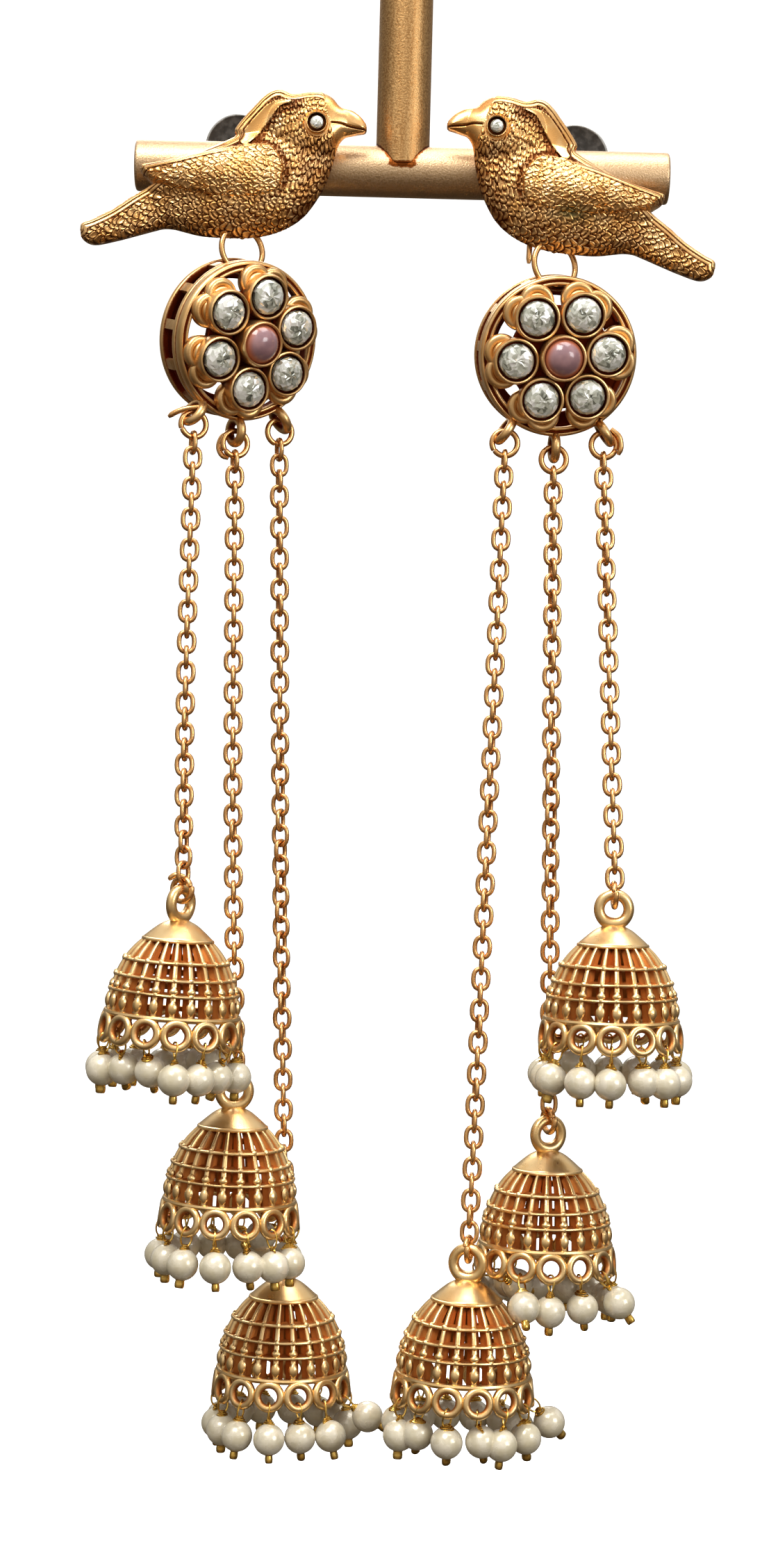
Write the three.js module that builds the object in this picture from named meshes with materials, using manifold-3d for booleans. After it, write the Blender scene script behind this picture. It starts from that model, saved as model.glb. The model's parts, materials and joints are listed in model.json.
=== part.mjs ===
// A pair of jhumka earrings hanging on a T-bar stand.
//
// Units are millimetres, +X runs along the bar, +Y away from the viewer and +Z up.
// The origin is the centre of the post's top end, from which everything hangs.
// Each earring is a bird, a flower drum below it, and three pierced bells on chains.

import * as THREE from 'three';
import { mergeVertices } from 'three/addons/utils/BufferGeometryUtils.js';
import Module from 'manifold-3d';

const wasm = await Module();
wasm.setup();

// ---------------------------------------------------------------- driving sizes

const POST_LENGTH = 32.7;       // post top down to the bar's axis
const POST_RADIUS = 3.5;
const BAR_RADIUS = 3.33;
const BAR_LENGTH = 69.9;
const END_CHAMFER = 0.4;

const HANG_Y = -4.7;            // plane in which the birds and hangers hang
const GAP = 0.3;                // clearance between separate pieces

const BIRD_BACK = 0.9;          // casting, measured from its hanging plane
const BIRD_FRONT = 1.7;
const BIRD_BEVEL = 0.6;
const CREST_RISE = 0.6;
const SUNK = 0.5;               // how deep the crest is rooted in the metal behind it
const POCKET = { width: 8.4, height: 4.6, depth: 1.2, drop: 0.9 };  // behind the hanger's lug
const EAR_PIN_RADIUS = 0.35;
const EAR_PIN_END = 9.0;
const EYE_RING_RADIUS = 1.3;
const EYE_RING_HEIGHT = 1.1;
const EYE_DISH = 0.5;
const EYE_STONE_RADIUS = 0.9;
const EYE_STONE_RISE = 0.3;
const EYE_STONE_PROUD = 0.1;    // the stone's edge stands this far before its ring

const CLUTCH_FRONT = 4.4;
const CLUTCH_DISC_RADIUS = 4.5;
const CLUTCH_DISC_THICKNESS = 0.8;
const CLUTCH_BARREL_RADIUS = 1.6;
const CLUTCH_LENGTH = 3.4;
const CLUTCH_BORE_RADIUS = 0.7;

const DRUM_RADIUS = 10.25;
const DRUM_WALL = 0.95;
const DRUM_DEPTH = 5.6;
const DRUM_TILT = 13;           // degrees, face turned down
const DRUM_SLOTS = 8;
const SLOT_SHARE = 0.68;        // share of the wall between two bridges that is open
const SLOT_WIDTH = 2.8;
const RIM_Y = -DRUM_DEPTH / 2;  // front edge of the drum

const PETALS = 6;
const PETAL_CIRCLE = 6.0;
const BEZEL_RADIUS = 2.95;
const BEZEL_HEIGHT = 1.9;
const BEZEL_DISH = 0.9;         // depth of the dish that a stone sits in
const CENTRE_RISE = 1.0;        // the middle setting stands this much prouder
const STONE_RADIUS = 2.4;
const STONE_DOME = 1.0;
const STONE_TABLE = 0.62;       // flat top of a stone as a share of its radius
const PETAL_PLATE = 1.2;
const PLATE_BACK = 0.3;         // the petal plate's back behind the drum's front edge
const BEZEL_SUNK = 0.2;

const LUG_CIRCLE = 11.7;
const LUG_SPREAD = 34;          // degrees between the drum's three lugs
const LUG_TURN = 1.4;           // degrees that all three stand aside from the lowest point
const LUG_RADIUS = 1.6;
const LUG_WIRE = 0.55;
const RING_RADIUS = 1.65;
const RING_WIRE = 0.38;
const RING_SIDES = 6;
const RING_LIFT = 0.05;         // a jump ring's wire sits this far above its lug's centre
const CHAIN_RADIUS = 1.1;
const CHAIN_SIDES = 8;
const CHAIN_STEP = 6.9;

const LOOP_RADIUS = 1.9;        // cast loop on top of a bell
const LOOP_WIRE = 0.7;
const LINK_RADIUS = 1.5;        // end link that joins the chain to that loop

const BELL_HEIGHT = 12.3;       // dome top to the rim's lower edge
const RIM_RADIUS = 8.45;
const BELL_WALL = 0.8;
const DOME_SHOULDER = [2.4, -0.75];
const NET_COLUMNS = 8;
const GAP_SHARE = 0.56;         // share of each column that is open
const LOBES = 14;               // loops along the rim, with a pearl under each
const LOBE_DROP = 3.9;
const LOBE_FLARE = 9.0;
const LOBE_SHARE = 0.24;        // half of a lobe's flat foot as a share of its pitch
const PEARL_RADIUS = 2.05;
const PEARL_CIRCLE = 8.9;
const PEARL_DROP = 7.3;         // rim down to a pearl's centre
const WIRE_LENGTH = 4.2;        // where a pearl's wire turns down to its centre
const CRIMP_LENGTH = 1.0;

const rad = THREE.MathUtils.degToRad;

// ------------------------------------------------------------------- materials

const finishes = {
  barGold: { color: 0xd6b98c, metalness: 1.0, roughness: 0.42 },
  antiqueGold: { color: 0xb98545, metalness: 1.0, roughness: 0.38 },
  chainGold: { color: 0xc08a4c, metalness: 1.0, roughness: 0.3 },
  clearStone: { color: 0xc9ccc4, metalness: 0.1, roughness: 0.08 },
  pinkStone: { color: 0xb58489, metalness: 0.0, roughness: 0.18 },
  darkClutch: { color: 0x4a4742, metalness: 0.6, roughness: 0.45 },
};

const materialOf = (finish) => new THREE.MeshStandardMaterial(finishes[finish]);

// ----------------------------------------------------- solids, joined and cut

// A closed three.js geometry as a solid, moved by an optional matrix.
function solid(geometry, matrix) {
  const bare = geometry.clone();
  bare.deleteAttribute('normal');
  bare.deleteAttribute('uv');
  if (matrix) bare.applyMatrix4(matrix);
  const merged = mergeVertices(bare, 1e-4);
  return new wasm.Manifold(new wasm.Mesh({
    numProp: 3,
    vertProperties: Float32Array.from(merged.attributes.position.array),
    triVerts: Uint32Array.from(merged.index.array),
  }));
}

const join = (solids) => solids.reduce((whole, next) => whole.add(next));

function geometryOf(manifold) {
  const mesh = manifold.getMesh();
  const geometry = new THREE.BufferGeometry();
  geometry.setAttribute('position', new THREE.BufferAttribute(mesh.vertProperties, 3));
  geometry.setIndex(new THREE.BufferAttribute(mesh.triVerts, 1));
  return geometry;
}

function named(name, geometry, finish) {
  const mesh = new THREE.Mesh(geometry, materialOf(finish));
  mesh.name = name;
  return mesh;
}

const shift = (x, y, z) => new THREE.Matrix4().makeTranslation(x, y, z);
const turnX = (degrees) => new THREE.Matrix4().makeRotationX(rad(degrees));
const turnY = (degrees) => new THREE.Matrix4().makeRotationY(rad(degrees));
const turnZ = (degrees) => new THREE.Matrix4().makeRotationZ(rad(degrees));
const placed = (...matrices) => matrices.reduce((whole, next) => whole.clone().multiply(next));

// A solid of revolution about Z from [radius, height] pairs that start and end on the axis.
function turned(profile, sides) {
  const points = profile.map(([radius, height]) => new THREE.Vector2(radius, height));
  return new THREE.LatheGeometry(points, sides).rotateX(Math.PI / 2);
}

// A round wire bent into a ring; the ring faces the viewer along Y.
function wireRing(radius, wire, around = RING_SIDES, sides = 4) {
  return new THREE.TorusGeometry(radius, wire, sides, around).rotateX(Math.PI / 2);
}

// An outline drawn in X and Z, given a thickness from y = front to y = back.
function plate(outline, front, back, bevel = 0) {
  const shape = new THREE.Shape(outline.map(([x, z]) => new THREE.Vector2(x, z)));
  const options = {
    depth: back - front - 2 * bevel,
    bevelEnabled: bevel > 0,
    bevelThickness: bevel,
    bevelSize: bevel,
    bevelOffset: -bevel,
    bevelSegments: 1,
    steps: 1,
    curveSegments: 4,
  };
  return new THREE.ExtrudeGeometry(shape, options).rotateX(Math.PI / 2)
    .translate(0, back - bevel, 0);
}

// --------------------------------------------------------- pierced round walls

// Closed lattice walls are built ring by ring. A ring is a list of points at one level.
function ringOf(angles, radius, height) {
  return angles.map((angle) => new THREE.Vector3(
    radius * Math.cos(angle), radius * Math.sin(angle), height));
}

// Angles in pairs: each opening lies between the two of a pair, centred on it.
function pairedAngles(count, share, phase = 0) {
  const angles = [];
  for (let k = 0; k < count; k += 1) {
    for (const sign of [-1, 1]) {
      angles.push((k + phase + sign * share / 2) * 2 * Math.PI / count);
    }
  }
  return angles;
}

// Collects triangles and gives back a closed solid.
class Skin {
  constructor() { this.corners = []; }

  triangle(a, b, c) { this.corners.push(a, b, c); }

  quad(a, b, c, d) {
    this.triangle(a, b, c);
    this.triangle(a, c, d);
  }

  // A band between two closed rings whose counts may differ; `out` tells which way it faces.
  band(upper, lower, out) {
    let i = 0;
    let j = 0;
    while (i < upper.length || j < lower.length) {
      const a = upper[i % upper.length];
      const b = lower[j % lower.length];
      const stepUpper = j >= lower.length
        || (i < upper.length && (i + 1) / upper.length <= (j + 1) / lower.length);
      const c = stepUpper ? upper[(i + 1) % upper.length] : lower[(j + 1) % lower.length];
      if (out) this.triangle(a, b, c);
      else this.triangle(a, c, b);
      if (stepUpper) i += 1;
      else j += 1;
    }
  }

  // A row of quads that are open and solid in turn, with walls round every opening.
  openRow(outerTop, outerFoot, innerTop, innerFoot) {
    outerTop.forEach((a, k) => {
      const next = (k + 1) % outerTop.length;
      const [b, c, d] = [outerFoot[k], outerFoot[next], outerTop[next]];
      const [e, f, g, h] = [innerTop[k], innerFoot[k], innerFoot[next], innerTop[next]];
      if (k % 2 === 0) {
        this.quad(d, a, e, h);
        this.quad(b, c, g, f);
        this.quad(a, b, f, e);
        this.quad(c, d, h, g);
      } else {
        this.quad(a, b, c, d);
        this.quad(e, h, g, f);
      }
    });
  }

  fan(pole, ring, out) {
    ring.forEach((point, k) => {
      const next = ring[(k + 1) % ring.length];
      if (out) this.triangle(pole, point, next);
      else this.triangle(pole, next, point);
    });
  }

  solid() {
    const geometry = new THREE.BufferGeometry().setFromPoints(this.corners);
    const merged = mergeVertices(geometry, 1e-4);
    return new wasm.Manifold(new wasm.Mesh({
      numProp: 3,
      vertProperties: Float32Array.from(merged.attributes.position.array),
      triVerts: Uint32Array.from(merged.index.array),
    }));
  }
}

// ------------------------------------------------------------------- the stand

function standGeometry() {
  const rod = (radius, length, sides) => turned([
    [0, 0],
    [radius - END_CHAMFER, 0],
    [radius, END_CHAMFER],
    [radius, length - END_CHAMFER],
    [radius - END_CHAMFER, length],
    [0, length],
  ], sides);
  const bar = solid(rod(BAR_RADIUS, BAR_LENGTH, 14), placed(
    shift(-BAR_LENGTH / 2, 0, -POST_LENGTH), turnY(90)));
  const post = solid(rod(POST_RADIUS, POST_LENGTH, 14), shift(0, 0, -POST_LENGTH));
  return geometryOf(join([bar, post]));
}

// ------------------------------------------------------------------- the birds

// Outline of the left bird, beak to the right: x along the bar, z up, from the ear pin.
const BIRD_OUTLINE = [
  [-19.4, -12.8], [-19.2, -14.7], [-17.8, -15.4], [-12.1, -14.0], [-8.5, -13.1],
  [-3.1, -14.1], [1.4, -14.2], [5.9, -13.4], [9.4, -11.1], [11.9, -7.2],
  [13.4, -2.0], [14.3, -0.7], [16.9, 0.0], [16.9, 1.1], [15.2, 2.7],
  [13.6, 3.1], [12.5, 4.3], [10.5, 5.0], [7.6, 4.6], [5.9, 5.1],
  [4.3, 4.6], [2.6, 3.0], [0.1, -0.1], [0.4, -1.0], [-6.9, -4.2],
  [-11.7, -5.0], [-11.5, -6.4], [-10.3, -7.6], [-16.2, -11.3],
];
const CREST_OUTLINE = [
  [0.7, -0.9], [2.4, -1.5], [4.9, 1.7], [7.2, 3.1], [6.0, 4.6], [3.4, 3.2],
];
// Rounded swellings in front of the flat casting: centre, half length, half height, rise, tilt.
const SWELLINGS = [
  { part: 'body', x: 1.4, z: -7.4, long: 11.4, high: 5.6, rise: 1.9, tilt: 14 },
  { part: 'wing', x: -2.4, z: -6.3, long: 8.6, high: 3.4, rise: 2.5, tilt: 3 },
  { part: 'head', x: 9.4, z: 0.4, long: 4.6, high: 4.3, rise: 1.3, tilt: 0 },
];
const DOME_PROFILE = [[0, -0.3], [1, -0.3], [1, 0], [0.75, 0.68], [0, 1]];
const BIRD_EYE = { x: 10.7, z: 0.4, sunk: 1.0 };
const EYE_SEAT_Y = -BIRD_FRONT - BIRD_EYE.sunk - EYE_RING_HEIGHT - EYE_STONE_PROUD;
const HANGER_LUG = { x: 1.3, z: -12.6, radius: 1.1, wire: 0.4 };

const mirrored = (outline, side) => (side.hand > 0
  ? outline
  : outline.map(([x, z]) => [-x, z]).reverse());

function birdGeometry(side) {
  const casting = solid(plate(mirrored(BIRD_OUTLINE, side), -BIRD_FRONT, BIRD_BACK, BIRD_BEVEL));
  const swellings = SWELLINGS.map(({ x, z, long, high, rise, tilt }) => solid(
    turned(DOME_PROFILE, 8), placed(
      shift(side.hand * x, -BIRD_FRONT, z), turnY(-side.hand * tilt),
      new THREE.Matrix4().makeScale(long, rise, high), turnX(90))));
  const crest = solid(plate(
    mirrored(CREST_OUTLINE, side), -BIRD_FRONT - CREST_RISE, -BIRD_FRONT + SUNK));
  const eyeRing = solid(turned([
    [0, 0],
    [EYE_RING_RADIUS, 0],
    [EYE_RING_RADIUS, EYE_RING_HEIGHT],
    [0, EYE_RING_HEIGHT - EYE_DISH],
  ], 8), placed(shift(side.hand * BIRD_EYE.x, -BIRD_FRONT - BIRD_EYE.sunk, BIRD_EYE.z), turnX(90)));
  const pinLength = EAR_PIN_END - HANG_Y;
  const pin = solid(turned([
    [0, 0],
    [EAR_PIN_RADIUS, 0],
    [EAR_PIN_RADIUS, pinLength],
    [0, pinLength],
  ], 6), placed(shift(side.hand * side.pin.x, 0, side.pin.z), turnX(-90)));
  const lugPlace = shift(side.hand * HANGER_LUG.x, 0, HANGER_LUG.z);
  const pocketDepth = 2 * BIRD_BACK + POCKET.depth;
  const pocket = solid(new THREE.BoxGeometry(POCKET.width, pocketDepth, POCKET.height), placed(
    lugPlace, shift(0, pocketDepth / 2 - POCKET.depth, -POCKET.drop)));
  const lug = solid(wireRing(HANGER_LUG.radius, HANGER_LUG.wire, 6), placed(lugPlace, turnZ(90)));
  return geometryOf(join([casting, ...swellings, crest, eyeRing, pin]).subtract(pocket).add(lug));
}

function eyeStoneGeometry() {
  return geometryOf(solid(turned([
    [0, GAP - EYE_DISH - 0.2],
    [EYE_STONE_RADIUS, 0],
    [EYE_STONE_RADIUS * STONE_TABLE, EYE_STONE_RISE],
    [0, EYE_STONE_RISE],
  ], 6), turnX(90)));
}

function clutchGeometry(side) {
  const round = (radius, from, to, sides, matrix) => solid(turned([
    [0, from], [radius, from], [radius, to], [0, to],
  ], sides), placed(matrix, turnX(-90)));
  const centre = shift(0, 0, 0);
  const discPlace = shift(side.discShift.x, 0, side.discShift.z);
  const disc = round(CLUTCH_DISC_RADIUS, 0, CLUTCH_DISC_THICKNESS, 10, discPlace);
  const barrel = round(CLUTCH_BARREL_RADIUS, CLUTCH_DISC_THICKNESS / 4, CLUTCH_LENGTH, 6, centre);
  const bore = round(CLUTCH_BORE_RADIUS, -CLUTCH_LENGTH, 2 * CLUTCH_LENGTH, 6, centre);
  return geometryOf(join([disc, barrel]).subtract(bore));
}

// ----------------------------------------------------------------- the flowers

// Modelled facing the viewer: depth runs along Y and the centre of the drum is the origin.
// The side wall is two rims with open slots between them, which short bridges keep apart.
function drumSolid() {
  const levels = [-DRUM_DEPTH / 2, -SLOT_WIDTH / 2, SLOT_WIDTH / 2, DRUM_DEPTH / 2];
  const angles = pairedAngles(DRUM_SLOTS, SLOT_SHARE, 0.5);
  const outer = levels.map((z) => ringOf(angles, DRUM_RADIUS, z));
  const inner = levels.map((z) => ringOf(angles, DRUM_RADIUS - DRUM_WALL, z));
  const skin = new Skin();
  skin.band(outer[1], outer[0], true);
  skin.openRow(outer[2], outer[1], inner[2], inner[1]);
  skin.band(outer[3], outer[2], true);
  skin.band(inner[3], outer[3], true);
  skin.band(outer[0], inner[0], true);
  skin.band(inner[1], inner[0], false);
  skin.band(inner[3], inner[2], false);
  return skin.solid().transform(turnX(90).elements);
}

// The scalloped plate behind the settings: two round lobes reach out past each of them.
function petalOutline(side) {
  const lobe = { radius: 2.45, circle: 7.3, apart: 10, steps: 3 };
  const outline = [];
  for (let k = 0; k < 2 * PETALS; k += 1) {
    const middle = petalAngle(side, Math.floor(k / 2)) + (k % 2 ? lobe.apart : -lobe.apart);
    const [from, to] = k % 2 ? [-40, 100] : [-100, 40];
    for (let step = 0; step < lobe.steps; step += 1) {
      const angle = rad(middle + from + (to - from) * (step + 0.5) / lobe.steps);
      outline.push([
        lobe.circle * Math.cos(rad(middle)) + lobe.radius * Math.cos(angle),
        lobe.circle * Math.sin(rad(middle)) + lobe.radius * Math.sin(angle),
      ]);
    }
  }
  return outline;
}

function bezelSolid(height, matrix) {
  return solid(turned([
    [0, 0],
    [BEZEL_RADIUS, 0],
    [BEZEL_RADIUS, height],
    [0, height - BEZEL_DISH],
  ], 8), placed(matrix, turnX(90)));
}

const petalAngle = (side, k) => side.flower.firstPetal + k * 360 / PETALS;
function petalPlace(side, k, y) {
  const angle = rad(petalAngle(side, k));
  return shift(PETAL_CIRCLE * Math.cos(angle), y, PETAL_CIRCLE * Math.sin(angle));
}

function flowerGeometry(side) {
  const pieces = [drumSolid()];
  const plateFront = RIM_Y + PLATE_BACK - PETAL_PLATE;
  pieces.push(solid(plate(petalOutline(side), plateFront, RIM_Y + PLATE_BACK)));
  const baseY = plateFront + BEZEL_SUNK;
  for (let k = 0; k < PETALS; k += 1) {
    pieces.push(bezelSolid(BEZEL_HEIGHT, petalPlace(side, k, baseY)));
  }
  pieces.push(bezelSolid(BEZEL_HEIGHT + CENTRE_RISE, shift(0, baseY, 0)));
  for (const lug of lugCentres(side)) {
    pieces.push(solid(wireRing(LUG_RADIUS, LUG_WIRE, 8), placed(
      new THREE.Matrix4().setPosition(lug), turnZ(90))));
  }
  const hangerRoom = solid(wireRing(side.hanger.radius, RING_WIRE + GAP, 8), placed(
    flowerMatrix(side).invert(), hangerMatrix(side)));
  return geometryOf(join(pieces).subtract(hangerRoom));
}

// Lug centres in the drum's frame, in the order outer, middle, inner bell.
function lugCentres(side) {
  return [-LUG_SPREAD, 0, LUG_SPREAD].map((degrees) => {
    const angle = rad(side.hand * degrees + LUG_TURN);
    return new THREE.Vector3(LUG_CIRCLE * Math.sin(angle), side.lugY, -LUG_CIRCLE * Math.cos(angle));
  });
}

function stoneGeometry(height) {
  return geometryOf(solid(turned([
    [0, GAP - BEZEL_DISH],
    [STONE_RADIUS, 0],
    [STONE_RADIUS * STONE_TABLE, height],
    [0, height],
  ], 8), turnX(90)));
}

// ----------------------------------------------------------------- the bells

// Outer wall levels from the dome's edge to the top of the rim: [radius, height].
const NET_LEVELS = [[4.35, -2.6], [6.75, -5.2], [7.2, -6.1], [8.25, -11.3]];

function bellShell() {
  const skin = new Skin();
  const netAngles = pairedAngles(NET_COLUMNS, GAP_SHARE);
  const levels = (inset) => NET_LEVELS.map(([radius, height]) => (
    ringOf(netAngles, radius - inset, height)));
  const outer = levels(0);
  const inner = levels(BELL_WALL);

  const poleOut = new THREE.Vector3(0, 0, 0);
  const poleIn = new THREE.Vector3(0, 0, -BELL_WALL - 0.5);
  const domeAngles = netAngles.filter((_, k) => k % 2 === 0);
  const dome = ringOf(domeAngles, ...DOME_SHOULDER);
  skin.fan(poleOut, dome, true);
  skin.band(dome, outer[0], true);
  skin.fan(poleIn, inner[0], false);
  skin.openRow(outer[0], outer[1], inner[0], inner[1]);
  skin.band(outer[1], outer[2], true);
  skin.band(inner[1], inner[2], false);
  skin.openRow(outer[2], outer[3], inner[2], inner[3]);

  // The rim's lower edge runs down into the lobes and back up between them.
  const lobe = 2 * Math.PI / LOBES;
  const edge = [];
  for (let k = 0; k < LOBES; k += 1) {
    edge.push({ angle: (k - 0.5) * lobe, low: false });
    edge.push({ angle: (k - LOBE_SHARE) * lobe, low: true });
    edge.push({ angle: (k + LOBE_SHARE) * lobe, low: true });
  }
  const edgeRing = (inset) => edge.map(({ angle, low }) => {
    const radius = (low ? LOBE_FLARE : RIM_RADIUS) - inset;
    const height = -BELL_HEIGHT - (low ? LOBE_DROP : 0.15);
    return new THREE.Vector3(radius * Math.cos(angle), radius * Math.sin(angle), height);
  });
  const rimOut = edgeRing(0);
  const rimIn = edgeRing(BELL_WALL);
  skin.band(outer[3], rimOut, true);
  skin.band(inner[3], rimIn, false);
  skin.band(rimOut, rimIn, true);
  return skin.solid();
}

// A pearl on its wire: a pointed neck that runs up into the lobe, and a crimp below.
function pearlSolid(index, radius, turn) {
  const angle = index * 360 / LOBES;
  const sideways = turnX(THREE.MathUtils.radToDeg(rad(turn) * radius / WIRE_LENGTH));
  const pivotZ = -BELL_HEIGHT - PEARL_DROP + WIRE_LENGTH;
  const swing = Math.asin(THREE.MathUtils.clamp((radius - PEARL_CIRCLE) / WIRE_LENGTH, -0.9, 0.9));
  const drop = turned([
    [0, -PEARL_RADIUS - CRIMP_LENGTH],
    [PEARL_RADIUS * 0.87, -PEARL_RADIUS * 0.5],
    [PEARL_RADIUS * 0.87, PEARL_RADIUS * 0.5],
    [0, WIRE_LENGTH],
  ], 5);
  return solid(drop, placed(
    turnZ(angle), shift(PEARL_CIRCLE - 0.25, 0, pivotZ), sideways,
    turnY(-THREE.MathUtils.radToDeg(swing)), shift(0, 0, -WIRE_LENGTH)));
}

function bellGeometry(bell) {
  const pieces = [bellShell()];
  for (let k = 0; k < LOBES; k += 1) {
    const [radius, turn] = bell.pushed[k] ?? [PEARL_CIRCLE, 0];
    pieces.push(pearlSolid(k, radius, turn));
  }
  const loop = wireRing(LOOP_RADIUS, LOOP_WIRE, 8);
  pieces.push(solid(loop, placed(shift(0, 0, LOOP_RADIUS), turnZ(bell.loopTurn - bell.turn))));
  return geometryOf(join(pieces));
}

// ------------------------------------------------------------ chains and rings

// A tube along a smooth route, a closed body with flat ends.
function tubeGeometry(points) {
  const curve = new THREE.CatmullRomCurve3(points.map(([x, y, z]) => new THREE.Vector3(x, y, z)));
  const section = new THREE.Shape();
  for (let k = 0; k < CHAIN_SIDES; k += 1) {
    const angle = k * 2 * Math.PI / CHAIN_SIDES;
    const [x, y] = [CHAIN_RADIUS * Math.cos(angle), CHAIN_RADIUS * Math.sin(angle)];
    if (k === 0) section.moveTo(x, y);
    else section.lineTo(x, y);
  }
  const steps = Math.max(4, Math.round(curve.getLength() / CHAIN_STEP));
  return new THREE.ExtrudeGeometry(section, { steps, extrudePath: curve, bevelEnabled: false });
}

// ------------------------------------------------------------ the two earrings

// hand is +1 for the bird that looks towards +X. Bells are numbered from the outer side in.
// at is the bell's dome top; turn rotates the bell, loopTurn its top loop; lean is in degrees.
// pushed gives a pearl's own circle and turn where a neighbour pushes it aside.
const SIDES = [
  {
    name: 'left',
    hand: 1,
    bird: { x: -21.8, z: -28.93, roll: 0 },
    pin: { x: 1.2, z: 0.25 },
    discShift: { x: -1.2, z: -0.2 },
    flower: { x: -20.7, y: -3.6, z: -55.8, yaw: 35, firstPetal: 26 },
    lugY: -2.1,
    hanger: { x: -20.5, topZ: -41.5, radius: 3.0, tilt: -7, yaw: 8 },
    bells: [
      {
        at: [-25.9, -9.5, -130.9],
        lean: 3,
        turn: -4,
        loopTurn: 55,
        pushed: { 1: [6, 0], 2: [6, 0], 3: [7, 0], 9: [7.1, -7], 10: [6.8, 2.5], 13: [7.8, -1] },
      },
      {
        at: [-18.8, -2.2, -155.5],
        lean: 1,
        turn: 4.5,
        loopTurn: 10,
        pushed: {
          0: [8, 0],
          1: [5, 0],
          2: [7, 0],
          9: [9.6, 0],
          10: [9.6, 2.5],
          11: [8.5, 5],
          12: [9.6, 0],
        },
      },
      {
        at: [-11.9, 5.5, -179.0],
        lean: 0,
        turn: 4.5,
        loopTurn: 15,
        pushed: { 9: [9.6, -1], 10: [9.6, 1.5], 11: [8.5, 3], 12: [10, 1.5], 13: [12.5, 5] },
      },
    ],
    routes: [
      [[-0.1, -0.8, -30]],
      [[0.9, 0.6, -45]],
      [[1.6, 4.6, -60]],
    ],
  },
  {
    name: 'right',
    hand: -1,
    bird: { x: 22.6, z: -29.87, roll: 5.7 },
    pin: { x: 2.0, z: 1.0 },
    discShift: { x: 2.2, z: -0.45 },
    flower: { x: 20.5, y: -3.6, z: -56.8, yaw: 8, firstPetal: 6.8 },
    lugY: -2.1,
    hanger: { x: 20.05, topZ: -42.28, radius: 3.1, tilt: -7, yaw: 0 },
    bells: [
      {
        at: [29.6, -8.5, -130.2],
        lean: 0,
        turn: 9,
        loopTurn: 0,
        pushed: { 0: [9.3, 5.5], 5: [6, 0], 8: [9.6, -1.5], 9: [9.3, 1], 11: [7.8, 7.5] },
      },
      {
        at: [22.4, -1.2, -160.2],
        lean: 0,
        turn: -11,
        loopTurn: 25,
        pushed: {
          0: [8.9, 7.5],
          6: [8.9, -5],
          7: [9.9, -12],
          8: [4.9, 0],
          9: [4.9, 0],
          10: [11, 8],
          12: [8.2, 7],
          13: [11.3, 4.5],
        },
      },
      {
        at: [12.1, -7.4, -176.2],
        lean: 1,
        turn: -1.5,
        loopTurn: -15,
        pushed: {
          0: [11.6, 9.5],
          7: [8.5, -12],
          9: [7.5, -11],
          10: [7.8, -1],
          11: [7.5, 8],
          13: [8.9, 6.5],
        },
      },
    ],
    routes: [[], [], []],
  },
];

function flowerMatrix(side) {
  const { x, y, z, yaw } = side.flower;
  return placed(shift(x, y, z), turnZ(yaw), turnX(DRUM_TILT));
}

function hangerMatrix(side) {
  const { x, topZ, radius, tilt, yaw } = side.hanger;
  return placed(shift(x, HANG_Y, topZ), turnZ(yaw), turnX(tilt), shift(0, 0, -radius));
}

function bellMatrix(bell) {
  return placed(shift(...bell.at), turnY(bell.lean), turnZ(bell.turn));
}

// Where a jump ring hangs under each lug, in the order outer, middle, inner bell.
function jumpRingCentre(side, index) {
  const centre = lugCentres(side)[index].applyMatrix4(flowerMatrix(side));
  centre.z -= RING_RADIUS - RING_LIFT;
  return centre;
}

function addMesh(group, name, geometry, finish, matrix = new THREE.Matrix4()) {
  const mesh = named(name, geometry, finish);
  matrix.decompose(mesh.position, mesh.quaternion, mesh.scale);
  group.add(mesh);
}

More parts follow.
